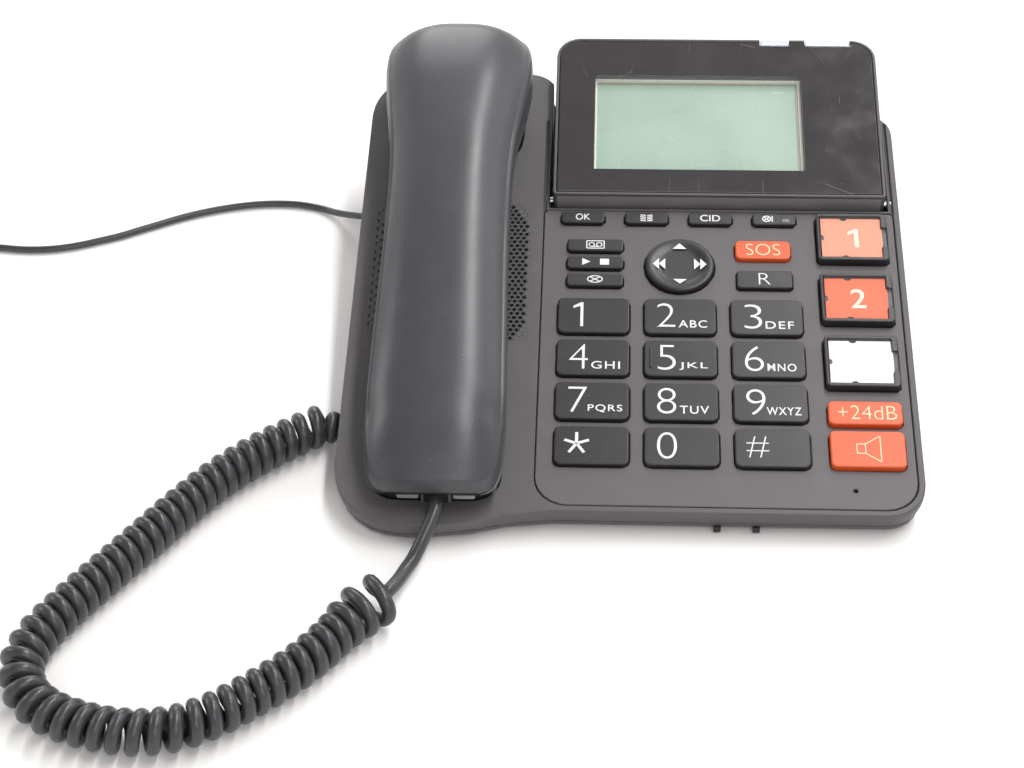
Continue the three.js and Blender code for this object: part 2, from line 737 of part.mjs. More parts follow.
// Base top cover: walls, sloping top, handset bay, key panel recess, display pocket and sockets
function baseTopCover() {
  const blank = cutFrom(caseBody(0, coverBottom), [aboveSlope(0)]);
  const keySide = -panelLeft - wall;
  const pocketSideWall = pocketLeft - pocketWall;
  const wellOuter = (area, depth) => solidOf(onPanel(slab(area(wellWall), -depth - wellWall, blankHeight)));
  const kept = [
    aboveSlope(wall),
    aboveSlope(ledgeDepth, keySide),
    aboveSlope(pocketDepth + pocketFloor, pocketSideWall, slopeReach, pocketFront - pocketWall),
    wellOuter(micWellArea, micWellDepth),
    wellOuter(earWellArea, earWellDepth),
    solidOf(sideJack(smallPlug, -baseJackY, baseJackZ, gap + jackWall, smallPlug.length + plugSetback + jackWall)),
    solidOf(sideJack(linePlug, lineJackY, lineJackZ, gap + jackWall, linePlug.length + plugSetback + jackWall)),
  ];
  const cavity = cutFrom(caseBody(wall, -overrun), kept);
  const recess = roundedArea(
    -panelLeft - gap, -panelFront - gap, panelRight + gap, panelRear + gap, panelCornerRadius, panelRearCornerRadius,
  );
  const opening = roundedArea(
    -panelLeft + ledgeWidth, -panelFront + ledgeWidth, panelRight - ledgeWidth, panelRear - ledgeWidth,
    panelCornerRadius - ledgeWidth, panelRearCornerRadius,
  );
  const groove = (x) => block(
    x - grooveWidth / 2, panelRear, -grooveDepth, x + grooveWidth / 2, grooveRear, overrun,
  );
  const pin = new THREE.CylinderGeometry(
    pinRadius + gap, pinRadius + gap, pocketRight - pocketLeft + (pinSeat + gap) * 2, smallRoundSides,
  );
  const plungerHole = block(
    -handsetX - plungerWidth / 2 - gap, plungerY - plungerDepth / 2 - gap, -earWellDepth - wellWall - overrun,
    -handsetX + plungerWidth / 2 + gap, plungerY + plungerDepth / 2 + gap, 0,
  );
  const tilted = [
    slab(recess, -recessDepth, overrun),
    slab(opening, -ledgeDepth - overrun, 0),
    block(pocketLeft, pocketFront, -pocketDepth, pocketRight, slopeReach, blankHeight),
    groove(-panelLeft),
    groove(panelRight),
    slab(micWellArea(0), -micWellDepth, overrun),
    slab(earWellArea(0), -earWellDepth, overrun),
    pin.rotateZ(Math.PI / 2).translate((pocketLeft + pocketRight) / 2, pinY, -pinZ),
    plungerHole,
  ];
  const cutters = [
    cavity,
    ...tilted.map((geometry) => solidOf(onPanel(geometry))),
    ...grilleCutters(),
    solidOf(sideJack(smallPlug, -baseJackY, baseJackZ, gap, smallPlug.length + plugSetback + gap)),
    solidOf(sideJack(linePlug, lineJackY, lineJackZ, gap, linePlug.length + plugSetback + gap)),
  ];
  return piece('base_top_cover', geometryOf(cutFrom(blank, cutters)), darkPlastic);
}

// Base bottom cover: plate, bosses under the board, and the battery tray with the seat of its door
function baseBottomCover() {
  const plateTop = footHeight + bottomPlate;
  const plate = caseBody(0, footHeight).subtract(solidOf(block(
    -slopeReach, -slopeReach, plateTop, slopeReach, slopeReach, slopeReach,
  )));
  const bosses = [-boardLeft + bossInset, boardRight - bossInset].flatMap((x) => (
    [-boardFront + bossInset, boardRear - bossInset].map((y) => {
      const post = disc(bossRadius, -slopeReach, -boardBottom - gap, smallRoundSides);
      return solidOf(onPanel(post.translate(x, y, 0))).subtract(solidOf(block(
        -slopeReach, -slopeReach, -slopeReach * 2, slopeReach, slopeReach, footHeight + bottomPlate / 2,
      )));
    })
  ));
  const trayLeft = trayX - trayWidth / 2;
  const trayRight = trayX + trayWidth / 2;
  const trayTop = plateTop + trayHeight;
  const tray = solidOf(block(
    trayLeft - trayWall, trayFront - trayWall, footHeight + bottomPlate / 2,
    trayRight + trayWall, trayRear + trayWall, trayTop + trayWall,
  ));
  const rim = doorLip + gap + trayWall;
  const collar = solidOf(block(
    trayLeft - rim, trayFront - rim, footHeight + bottomPlate / 2, trayRight + rim, trayRear + rim,
    doorTop + gap + trayWall,
  ));
  const inside = solidOf(block(trayLeft, trayFront, -overrun, trayRight, trayRear, trayTop));
  const seatLeft = trayLeft - doorLip - gap;
  const seatRight = trayRight + doorLip + gap;
  const seat = solidOf(block(seatLeft, trayFront - doorLip - gap, -overrun, seatRight, slopeReach, doorTop + gap));
  const mouth = solidOf(block(seatLeft, trayRear + rim, -overrun, seatRight, slopeReach, slopeReach));
  const whole = joined([plate, ...bosses, tray, collar]);
  return piece('base_bottom_cover', geometryOf(cutFrom(whole, [inside, seat, mouth])), darkPlastic);
}

// Battery door: a plate that closes the tray and slides out to the rear by the bar at its end
function batteryDoor() {
  const left = trayX - trayWidth / 2 - doorLip;
  const right = trayX + trayWidth / 2 + doorLip;
  const doorRear = caseRear - lowerDraft;
  const plate = solidOf(block(left, trayFront - doorLip, footHeight, right, doorRear, doorTop));
  const bar = solidOf(block(
    left, trayRear + doorLip + trayWall + gap * 2, footHeight, right, doorRear, footHeight + bottomPlate,
  ));
  return piece('battery_door', geometryOf(plate.add(bar)), darkPlastic);
}

function feet() {
  const places = [
    ['front_left', -caseLeft + footInset * 2, -bayFront + footInset * 1.5],
    ['front_right', caseRight - footInset, -caseFront + footInset],
    ['rear_left', -caseLeft + footInset * 1.5, bayRear - footInset * 1.5],
    ['rear_right', caseRight - footInset, caseRear - footInset],
  ];
  return places.map(([place, x, y]) => {
    const mesh = piece(`foot_${place}`, disc(footRadius, 0, footHeight - gap, smallRoundSides), rubber);
    mesh.position.set(x, y, 0);
    return mesh;
  });
}

// Loudspeaker under the grille: rim, basket and magnet in one turned outline
function baseLoudspeaker() {
  const top = -wall - gap;
  const profile = [
    [0, top - speakerDepth], [speakerNeckRadius, top - speakerDepth],
    [speakerNeckRadius, top - speakerDepth / 2], [speakerRadius, top - speakerRim], [speakerRadius, top],
    [speakerRadius - speakerRim, top], [0, top - speakerDepth / 3],
  ];
  const mesh = piece('base_loudspeaker', turned(profile, roundSides), steel);
  mesh.position.set(-handsetX, (grilleFront + grilleRear) / 2, 0);
  return mesh;
}

// Hook plunger, held down by the handset in its rest place
function hookPlunger() {
  const top = -earWellDepth;
  const stem = solidOf(block(
    -plungerWidth / 2, -plungerDepth / 2, top - plungerStem, plungerWidth / 2, plungerDepth / 2, top,
  ));
  const half = plungerWidth / 2 + plungerFlange;
  const flange = solidOf(block(
    -half, -plungerDepth / 2 - plungerFlange, top - plungerStem, half, plungerDepth / 2 + plungerFlange,
    top - plungerStem + plungerFlangeThickness,
  ));
  const mesh = piece('hook_plunger', geometryOf(stem.add(flange)), keyPlastic);
  mesh.position.set(-handsetX, plungerY, 0);
  return mesh;
}

// Display module, in the frame of its hinge pin
const displayArea = (grown) => roundedArea(
  -displayWidth / 2 - grown, -displayFoot - grown, displayWidth / 2 + grown, displayTop + grown,
  Math.max(displayBottomRadius + grown, displayLeastRadius), displayTopRadius + grown,
);

const guideHeads = [[guideX1, guideWidth1], [guideX2, guideWidth2]];

function guideNotches(low, high) {
  return guideHeads.map(([x, width]) => solidOf(block(
    x - width / 2 - gap, displayTop - guideDepth - gap, low, x + width / 2 + gap, displayTop + overrun, high,
  )));
}

function displayFrontCover() {
  const body = solidOf(slab(displayArea(0), displayJoint + gap, displayFront));
  const lensSeat = solidOf(slab(displayArea(-lensBorder), displayFront - lensThickness - gap, displayFront + overrun));
  const window = solidOf(block(
    -windowX - windowWidth / 2, windowBottom, 0, -windowX + windowWidth / 2, windowBottom + windowHeight,
    displayFront,
  ));
  const notches = guideNotches(0, displayFront + overrun);
  return piece('display_front_cover', geometryOf(cutFrom(body, [lensSeat, window, ...notches])), darkPlastic);
}

function displayLens() {
  const plate = solidOf(slab(displayArea(-lensBorder - gap), displayFront - lensThickness, displayFront));
  return piece('display_lens', geometryOf(cutFrom(plate, guideNotches(0, displayFront + overrun))), blackGloss);
}

function displayRearCover() {
  const body = solidOf(slab(displayArea(0), -displayBack, displayJoint));
  const inside = solidOf(slab(displayArea(-displayWall), -displayBack + displayWall, displayJoint + overrun));
  const pinHole = new THREE.CylinderGeometry(
    pinRadius + gap, pinRadius + gap, displayWidth + overrun * 2, smallRoundSides,
  );
  const cutters = [inside, solidOf(pinHole.rotateZ(Math.PI / 2))];
  return piece('display_rear_cover', geometryOf(cutFrom(body, cutters)), darkPlastic);
}

function lcdModule() {
  const geometry = block(
    -windowX - windowWidth / 2 - lcdMargin, windowBottom - lcdMargin, displayJoint - lcdThickness,
    -windowX + windowWidth / 2 + lcdMargin, windowBottom + windowHeight + lcdMargin, displayJoint,
  );
  return piece('lcd_module', geometry, lcdGlass);
}

// Light guide: two heads in the top edge, joined by a bar inside the module
function lightGuide() {
  const barTop = displayJoint - gap;
  const barRear = displayTop - displayWall - gap;
  const bar = solidOf(block(
    guideX1 - guideNeckWidth / 2, barRear - guideBarDepth, barTop - guideBarThickness,
    guideX2 + guideNeckWidth / 2, barRear, barTop,
  ));
  const parts = guideHeads.flatMap(([x, width]) => {
    const head = block(
      x - width / 2, displayTop - guideDepth, displayJoint + gap * 2, x + width / 2, displayTop, displayFront,
    );
    const neck = block(
      x - guideNeckWidth / 2, displayTop - guideDepth, barTop - guideBarThickness,
      x + guideNeckWidth / 2, barRear, displayFront - lensThickness,
    );
    return [solidOf(head), solidOf(neck)];
  });
  return piece('light_guide', geometryOf(joined([bar, ...parts])), clearPlastic);
}

function hingePin() {
  const length = pocketRight - pocketLeft + pinSeat * 2;
  const geometry = new THREE.CylinderGeometry(pinRadius, pinRadius, length, smallRoundSides);
  const mesh = piece('display_hinge_pin', geometry.rotateZ(Math.PI / 2), steel);
  mesh.position.set((pocketLeft + pocketRight) / 2, pinY, -pinZ);
  return mesh;
}

function displayModule() {
  const module = new THREE.Group();
  module.add(displayFrontCover(), displayLens(), displayRearCover(), lcdModule(), lightGuide());
  module.position.set(displayX, pinY, -pinZ);
  module.rotation.x = displayLean;
  return module;
}

// One cross-section ring of the handset, drawn in by a wall
function handsetRing([alongShare, halfShare, underShare, crownShare], inset) {
  const y = -handsetFront + alongShare * handsetLength;
  const half = halfShare * handsetHalfWidth - inset;
  const under = underShare * handsetHeight + inset;
  const crown = crownShare * handsetHeight - inset;
  const waist = under + (crown - under) * handsetWaistShare;
  const points = [];
  for (let step = 0; step < handsetRingPoints; step++) {
    const angle = (step / handsetRingPoints) * Math.PI * 2;
    const across = Math.sign(Math.cos(angle)) * Math.abs(Math.cos(angle)) ** (2 / handsetSquareness);
    const rise = Math.sign(Math.sin(angle)) * Math.abs(Math.sin(angle)) ** (2 / handsetSquareness);
    const reach = rise > 0 ? crown - waist : waist - under;
    points.push(new THREE.Vector3(across * half, y, waist + rise * reach));
  }
  return points.reverse();
}

// The seam between the handset's two shells, as a side outline that is given width
function seamBlock(shift, side) {
  const far = handsetHeight * 2 * side;
  const points = handsetStationShares.map(([alongShare, , underShare, crownShare]) => {
    const seam = underShare + (crownShare - underShare) * handsetSeamShare;
    return new THREE.Vector2(-handsetFront + alongShare * handsetLength, seam * handsetHeight + shift);
  });
  const first = points[0];
  const last = points[points.length - 1];
  const outline = [
    new THREE.Vector2(first.x - overrun, far), new THREE.Vector2(first.x - overrun, first.y), ...points,
    new THREE.Vector2(last.x + overrun, last.y), new THREE.Vector2(last.x + overrun, far),
  ];
  const width = handsetHalfWidth * 4;
  const geometry = new THREE.ExtrudeGeometry(new THREE.Shape(outline), { depth: width, bevelEnabled: false });
  return solidOf(geometry.translate(0, 0, -width / 2).rotateX(Math.PI / 2).rotateZ(Math.PI / 2));
}

const handsetBody = (inset) => {
  const stations = inset > 0 ? handsetStationShares.slice(2, -2) : handsetStationShares;
  return solidOf(loft(stations.map((station) => handsetRing(station, inset))));
};

const micCapArea = (grown) => roundedArea(
  -micCapWidth / 2 - grown, -micCapFront - grown, micCapWidth / 2 + grown, -micCapRear + grown,
  micCapRadius + grown,
);

const earCapArea = (grown) => roundedArea(
  -earCapWidth / 2 - grown, earCapFront - grown, earCapWidth / 2 + grown, earCapRear + grown, earCapRadius + grown,
);

const micCapBottom = -micWellDepth + gap;
const earCapBottom = -earWellDepth + gap;

function handsetOuterShell() {
  const shell = handsetBody(0).subtract(handsetBody(handsetWall)).intersect(seamBlock(seamGap, 1));
  return piece('handset_outer_shell', geometryOf(shell), darkPlastic);
}

function handsetInnerShell() {
  const micCap = solidOf(slab(micCapArea(0), micCapBottom, capRise));
  const micFoot = solidOf(slab(micCapArea(0), micCapBottom, handsetJackZ * 2));
  const caps = [
    micCap.intersect(handsetBody(0).add(micFoot)),
    solidOf(slab(earCapArea(0), earCapBottom, capRise)),
  ];
  const jackHalf = smallPlug.width / 2 + gap;
  const jackTall = smallPlug.height / 2 + gap;
  const jackEnd = -micCapFront + plugSetback + smallPlug.length + gap;
  const jackBlock = solidOf(block(
    handsetJackShift - jackHalf - jackWall, -micCapFront, micCapBottom,
    handsetJackShift + jackHalf + jackWall, jackEnd + jackWall, handsetJackZ + jackTall + jackWall,
  ));
  const jackHole = solidOf(block(
    handsetJackShift - jackHalf, -handsetFront - overrun, handsetJackZ - jackTall,
    handsetJackShift + jackHalf, jackEnd, handsetJackZ + jackTall,
  ));
  const micHollow = solidOf(slab(micCapArea(-handsetWall), micCapBottom + capFloor, capRise)).subtract(jackBlock);
  const earHollow = solidOf(slab(earCapArea(-handsetWall), earCapBottom + capFloor, capRise));
  const through = (radius, x, y) => solidOf(
    disc(radius, earCapBottom - overrun, 0, holeSides).translate(x, y, 0));
  const earHoles = [through(earHoleRadius, 0, earpieceY)];
  for (let hole = 0; hole < earHoleCount; hole++) {
    const angle = (hole / earHoleCount) * Math.PI * 2;
    const x = earHoleRing * Math.cos(angle);
    earHoles.push(through(earHoleRadius, x, earpieceY + earHoleRing * Math.sin(angle)));
  }
  earHoles.push(through(earHoleRadius, 0, -microphoneY));
  const shell = handsetBody(0).subtract(handsetBody(handsetWall).subtract(jackBlock));
  const lower = joined([shell, ...caps]).intersect(seamBlock(0, -1));
  const inside = handsetBody(handsetWall).subtract(jackBlock);
  return piece('handset_inner_shell', geometryOf(
    cutFrom(lower, [inside, micHollow, earHollow, jackHole, ...earHoles])), darkPlastic);
}

function handsetGroup() {
  const group = new THREE.Group();
  const earpiece = piece('earpiece_capsule', disc(earpieceRadius, 0, earpieceThickness, smallRoundSides), steel);
  earpiece.position.set(0, earpieceY, earCapBottom + capFloor + gap);
  const microphone = piece(
    'microphone_capsule', disc(microphoneRadius, 0, microphoneThickness, smallRoundSides), steel,
  );
  microphone.position.set(0, -microphoneY, micCapBottom + capFloor + gap);
  const plug = cordPlug('handset_plug', smallPlug, bootLength);
  plug.position.set(handsetJackShift, -micCapFront + plugSetback, handsetJackZ);
  plug.rotation.z = Math.PI / 2;
  group.add(handsetOuterShell(), handsetInnerShell(), earpiece, microphone, plug);
  group.position.set(-handsetX, 0, 0);
  return group;
}

// A modular plug that points along +x from its rear end, where its cord or a boot round the cord leaves
function cordPlug(name, plug, boot = 0) {
  const body = solidOf(block(0, -plug.width / 2, -plug.height / 2, plug.length, plug.width / 2, plug.height / 2));
  const sleeve = boot ? [solidOf(disc(curlWire / 2, -boot, overrun, holeSides).rotateY(Math.PI / 2))] : [];
  const slotHalf = plugLatchWidth / 2;
  const slots = [slotHalf, -slotHalf - plugLatchThickness].map((y) => solidOf(block(
    plug.length / 4, y, plug.height / 2 - plugLatchRise, plug.length + overrun, y + plugLatchThickness,
    plug.height / 2 + overrun,
  )));
  return piece(name, geometryOf(joined([cutFrom(body, slots), ...sleeve])), clearPlastic);
}

// A smooth curve through points, near its points and never looping back on itself
function smoothCurve(points) {
  const curve = new THREE.CatmullRomCurve3(points, false, 'centripetal');
  curve.arcLengthDivisions = points.length * checkStepsEach;
  return curve;
}

const toPoints = (route) => route.map(([x, y, z]) => new THREE.Vector3(x, y, z));

// A regular outline for a tube, with its corners on the wire's own circle
function wireRing(wire, sides) {
  const corners = [];
  for (let side = 0; side < sides; side++) {
    const angle = (side / sides) * Math.PI * 2;
    corners.push(new THREE.Vector2(Math.cos(angle), Math.sin(angle)).multiplyScalar(wire / 2));
  }
  return corners;
}

// A plain tube along a curve
function tubeAlong(curve, wire, sides, steps) {
  return new THREE.ExtrudeGeometry(new THREE.Shape(wireRing(wire, sides)), {
    steps, bevelEnabled: false, extrudePath: curve,
  });
}

// One unbroken tube through a long list of points, whose rings turn as little as the points allow
function tubeThrough(points, wire, sides) {
  const outline = wireRing(wire, sides);
  const across = new THREE.Vector3(0, 0, 1);
  const rings = points.map((point, index) => {
    const before = points[Math.max(index - 1, 0)];
    const after = points[Math.min(index + 1, points.length - 1)];
    const along = new THREE.Vector3().subVectors(after, before).normalize();
    across.addScaledVector(along, -across.dot(along)).normalize();
    const up = new THREE.Vector3().crossVectors(along, across);
    return outline.map((corner) => (
      point.clone().addScaledVector(across, corner.x).addScaledVector(up, corner.y)
    ));
  });
  return loft(rings);
}

// The least clear distance between stretches of one tube that are over two diameters apart along it
function leastGap(points, wire) {
  const travelled = [0];
  for (let index = 1; index < points.length; index++) {
    travelled.push(travelled[index - 1] + points[index].distanceTo(points[index - 1]));
  }
  let least = Infinity;
  points.forEach((point, here) => {
    for (let there = here + 1; there < points.length; there++) {
      const apart = travelled[there] - travelled[here];
      least = apart > wire * 2 ? Math.min(least, point.distanceTo(points[there])) : least;
    }
  });
  return least - wire;
}

const runOf = (points) => points.slice(1).reduce((sum, point, index) => sum + point.distanceTo(points[index]), 0);

// Wire of the curly cord: straight out of one plug, wound round its route, and straight into the other plug.
// The curls open where the route bends, so that they stay clear on the inside of the bend.
function curlyWire(axis, curledLength, stepsEach) {
  const length = axis.getLength();
  const radius = (curlOuter - curlWire) / 2;
  const smooth = (from, to, value) => THREE.MathUtils.smoothstep(value, from, to);
  const points = [];
  let turns = 0;
  let progress = 1;
  for (let along = 0; along < length; along += curlMarch) {
    const share = along / length;
    const direction = axis.getTangentAt(share);
    const wound = along > curlWire && along < curledLength;
    const loose = smooth(curledLength - curlLooseRun, curledLength, along);
    const near = axis.getTangentAt(Math.max(along - curlBendWindow, 0) / length);
    const far = axis.getTangentAt(Math.min(along + curlBendWindow, length) / length);
    const bend = near.angleTo(far) / (curlBendWindow * 2);
    const pitch = THREE.MathUtils.lerp(curlPitch, curlLoosePitch, loose) / (1 - radius * bend);
    if (progress >= 1) {
      progress -= 1;
      const grown = radius * smooth(curlWire, curlWire + curlPitch, along)
        * (1 - smooth(curledLength - curlLoosePitch / 2, curledLength, along));
      const side = new THREE.Vector3(direction.y, -direction.x, 0).normalize();
      const up = new THREE.Vector3().crossVectors(side, direction);
      const angle = turns * Math.PI * 2;
      points.push(axis.getPointAt(share).addScaledVector(side, grown * Math.cos(angle))
        .addScaledVector(up, grown * Math.sin(angle)));
    }
    turns += wound ? curlMarch / pitch : 0;
    progress += (wound ? stepsEach / pitch : 1 / curlWire) * curlMarch;
  }
  points.push(axis.getPointAt(1));
  return { points, turns };
}

function handsetCord(start, end, intoHandset) {
  const route = toPoints(curlRoute);
  const leaving = start.clone().add(new THREE.Vector3(-curlWire, 0, 0));
  const arriving = end.clone().addScaledVector(intoHandset, -curlWire);
  const axis = smoothCurve([start, leaving, ...route, ...toPoints(leadRoute), arriving, end]);
  const curledLength = smoothCurve([start, leaving, ...route]).getLength();
  const { points, turns } = curlyWire(axis, curledLength, curlStepsEach);
  const fine = curlyWire(axis, curledLength, checkStepsEach).points;
  console.log(`handset cord: ${turns.toFixed(1)} curls, wire ${runOf(fine).toFixed(0)} mm, `
    + `least gap ${leastGap(fine, curlWire).toFixed(2)} mm`);
  return piece('handset_cord', tubeThrough(points, curlWire, curlSides), cordPlastic);
}

// Coil of the spare line cord: its loops spiral in and out again, and climb a layer where the spiral reverses
function coilPoint(turn) {
  const total = coilLayers * coilLayerTurns;
  const wound = THREE.MathUtils.clamp(turn, 0, total);
  const layer = Math.min(Math.floor(wound / coilLayerTurns), coilLayers - 1);
  const into = wound - layer * coilLayerTurns;
  const inward = layer % 2 === 0 ? into : coilLayerTurns - into;
  const radius = coilOuterTurn - inward * coilPitch;
  let level = 0;
  for (let reversal = 1; reversal < coilLayers; reversal++) {
    const middle = reversal * coilLayerTurns;
    level += THREE.MathUtils.smoothstep(wound, middle - 1 / 4, middle + 1 / 4);
  }
  const angle = -Math.PI / 2 - wound * Math.PI * 2;
  const height = lineRest + level * coilLayerRise;
  return new THREE.Vector3(coilX + radius * Math.cos(angle), coilY + radius * Math.sin(angle), height);
}

function coilWire(stepsEach) {
  const total = coilLayers * coilLayerTurns;
  const points = [coilPoint(0).add(new THREE.Vector3(lineWire, 0, 0))];
  for (let step = 0; step <= total * stepsEach; step++) {
    points.push(coilPoint(step / stepsEach));
  }
  const last = coilPoint(total);
  const spacing = (coilOuterTurn * Math.PI * 2) / stepsEach;
  const plugHeight = linePlug.height / 2 + gap;
  for (let run = spacing; run < coilTailRun; run += spacing) {
    const drop = THREE.MathUtils.smoothstep(run, coilTailRise, coilTailRun);
    points.push(new THREE.Vector3(last.x - run, last.y, THREE.MathUtils.lerp(last.z, plugHeight, drop)));
  }
  points.push(new THREE.Vector3(last.x - coilTailRun, last.y, plugHeight));
  points.push(new THREE.Vector3(last.x - coilTailRun - lineWire, last.y, plugHeight));
  return points;
}

function lineCoil() {
  const fine = coilWire(checkStepsEach);
  console.log(`line coil: wire ${runOf(fine).toFixed(0)} mm, least gap ${leastGap(fine, lineWire).toFixed(2)} mm`);
  return piece('line_coil', tubeThrough(coilWire(coilStepsEach), lineWire, coilSides), cordPlastic);
}

function lineCord(start) {
  const end = coilPoint(0).add(new THREE.Vector3(lineWire + gap, 0, 0));
  const leaving = start.clone().add(new THREE.Vector3(-lineWire, 0, 0));
  const arriving = end.clone().add(new THREE.Vector3(lineWire, 0, 0));
  const curve = smoothCurve([start, leaving, ...toPoints(lineRoute), arriving, end]);
  console.log(`line cord: ${curve.getLength().toFixed(0)} mm to its coil`);
  return piece('line_cord', tubeAlong(curve, lineWire, lineSides, lineSteps), cordPlastic);
}

// The phone without its cords, which is what stands centred on the origin
const panel = new THREE.Group();
panel.rotation.x = tilt;
panel.position.z = panelHeight;
panel.add(
  keyPanel(), ...keyPlaces().map(keyMesh), ...photoPlaces.map(photoKey), ...photoPlaces.map(photoCover),
  navPivot(), navDisc(), keypadMat(), mainBoard(), baseLoudspeaker(), hookPlunger(), handsetGroup(),
  hingePin(), displayModule(),
);
const phone = new THREE.Group();
phone.add(baseTopCover(), baseBottomCover(), batteryDoor(), ...feet(), panel);
const middle = new THREE.Box3().setFromObject(phone, true).getCenter(new THREE.Vector3());

// Cords, from the plugs in their sockets
const basePlug = cordPlug('base_plug', smallPlug);
basePlug.position.set(-caseLeft + plugSetback, -baseJackY, baseJackZ);
const linePlugNear = cordPlug('line_plug_near', linePlug);
linePlugNear.position.set(-caseLeft + plugSetback, lineJackY, lineJackZ);
phone.add(basePlug, linePlugNear);
phone.updateMatrixWorld(true);
const beforePlug = (plug, boot = 0) => plug.localToWorld(new THREE.Vector3(-boot - gap, 0, 0));
const handsetPlug = phone.getObjectByName('handset_plug');
const intoHandset = new THREE.Vector3(1, 0, 0).transformDirection(handsetPlug.matrixWorld);
const coilEnd = coilWire(1).pop();
const linePlugFar = cordPlug('line_plug_far', linePlug);
linePlugFar.position.set(coilEnd.x - gap, coilEnd.y, coilEnd.z);
linePlugFar.rotation.z = Math.PI;
phone.add(
  handsetCord(beforePlug(basePlug), beforePlug(handsetPlug, bootLength), intoHandset),
  lineCord(beforePlug(linePlugNear)), lineCoil(), linePlugFar,
);
phone.position.set(-middle.x, -middle.y, 0);

const group = new THREE.Group();
group.add(phone);

export default group;
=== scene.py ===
"""Corded desk phone with large keys, a tilting display and a handset on a curly cord, dressed over its frame."""

import json
import logging
import math
from collections.abc import Callable, Iterator, Sequence
from dataclasses import dataclass
from enum import Enum
from functools import cache

import bmesh
import bpy
from bmesh.types import BMesh
from mathutils import Matrix, Vector

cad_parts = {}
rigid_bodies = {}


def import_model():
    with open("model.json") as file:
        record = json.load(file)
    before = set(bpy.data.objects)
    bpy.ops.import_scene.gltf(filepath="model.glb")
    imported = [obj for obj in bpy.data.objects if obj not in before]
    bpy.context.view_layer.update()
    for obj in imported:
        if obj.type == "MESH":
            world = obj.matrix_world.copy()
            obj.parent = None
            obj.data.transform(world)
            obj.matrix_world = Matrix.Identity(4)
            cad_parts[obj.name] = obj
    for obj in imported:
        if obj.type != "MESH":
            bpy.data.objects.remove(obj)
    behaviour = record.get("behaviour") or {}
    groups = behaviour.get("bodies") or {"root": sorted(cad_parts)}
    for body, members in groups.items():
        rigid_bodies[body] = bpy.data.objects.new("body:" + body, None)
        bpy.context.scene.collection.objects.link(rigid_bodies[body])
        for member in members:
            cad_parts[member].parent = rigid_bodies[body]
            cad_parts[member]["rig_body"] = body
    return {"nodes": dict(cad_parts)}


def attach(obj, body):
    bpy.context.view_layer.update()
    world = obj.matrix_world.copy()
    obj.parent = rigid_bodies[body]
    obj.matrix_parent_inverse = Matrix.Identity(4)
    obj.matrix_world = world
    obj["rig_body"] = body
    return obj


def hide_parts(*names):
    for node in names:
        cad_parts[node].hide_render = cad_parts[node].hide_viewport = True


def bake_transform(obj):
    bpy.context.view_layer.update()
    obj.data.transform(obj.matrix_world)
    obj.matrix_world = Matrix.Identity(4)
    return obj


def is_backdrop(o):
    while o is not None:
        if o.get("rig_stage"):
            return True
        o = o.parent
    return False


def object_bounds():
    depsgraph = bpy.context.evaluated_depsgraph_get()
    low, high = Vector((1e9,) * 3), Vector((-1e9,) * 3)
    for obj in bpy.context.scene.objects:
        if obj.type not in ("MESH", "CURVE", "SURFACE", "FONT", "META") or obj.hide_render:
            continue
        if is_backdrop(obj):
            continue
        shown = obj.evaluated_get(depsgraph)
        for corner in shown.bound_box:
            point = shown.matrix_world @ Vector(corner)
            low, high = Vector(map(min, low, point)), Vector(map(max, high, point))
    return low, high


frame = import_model()
CAD_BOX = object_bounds()
LOG = logging.getLogger("desk_phone")

MM = 0.001
PANEL_TILT = math.radians(10)
DISPLAY_LEAN = math.radians(4)
SAME_PLANE = math.radians(0.6)
KEY_RISE = 1.6 * MM
WELD = 0.001 * MM
PRINT = 0.04 * MM
PLUG_GAP = 0.3 * MM
STILL = Matrix.Identity(4)

Colour = tuple[int, int, int]
Pair = tuple[float, float]
Triple = tuple[float, float, float]
Spot = float | Vector
Level = Callable[[Vector], float]
Socket = bpy.types.NodeSocket
Thing = bpy.types.Object

DUST: Colour = (188, 182, 176)
HAIRLINE: Colour = (170, 168, 166)


class Slot(Enum):
    """Material slots of the record."""

    CASE = "case_plastic"
    KEY = "key_plastic"
    ORANGE = "orange_plastic"
    GLOSS = "display_gloss"
    LCD = "lcd_glass"
    CLEAR = "clear_plastic"
    BOARD = "circuit_board"
    SILICONE = "silicone"
    RUBBER = "foot_rubber"
    STEEL = "steel"
    CORD = "cord_plastic"


def linear(colour: Colour, level: float = 1.0) -> tuple[float, float, float, float]:
    """Turns a screen colour into the renderer's.

    Args:
        colour: red, green and blue from 0 to 255.
        level: how much lighter or darker it gets.

    Returns:
        The linear colour with full cover.
    """
    shares = [channel / 255 for channel in colour]
    straight = [s / 12.92 if s <= 0.04045 else ((s + 0.055) / 1.055) ** 2.4 for s in shares]
    return (*(min(s * level, 1.0) for s in straight), 1.0)


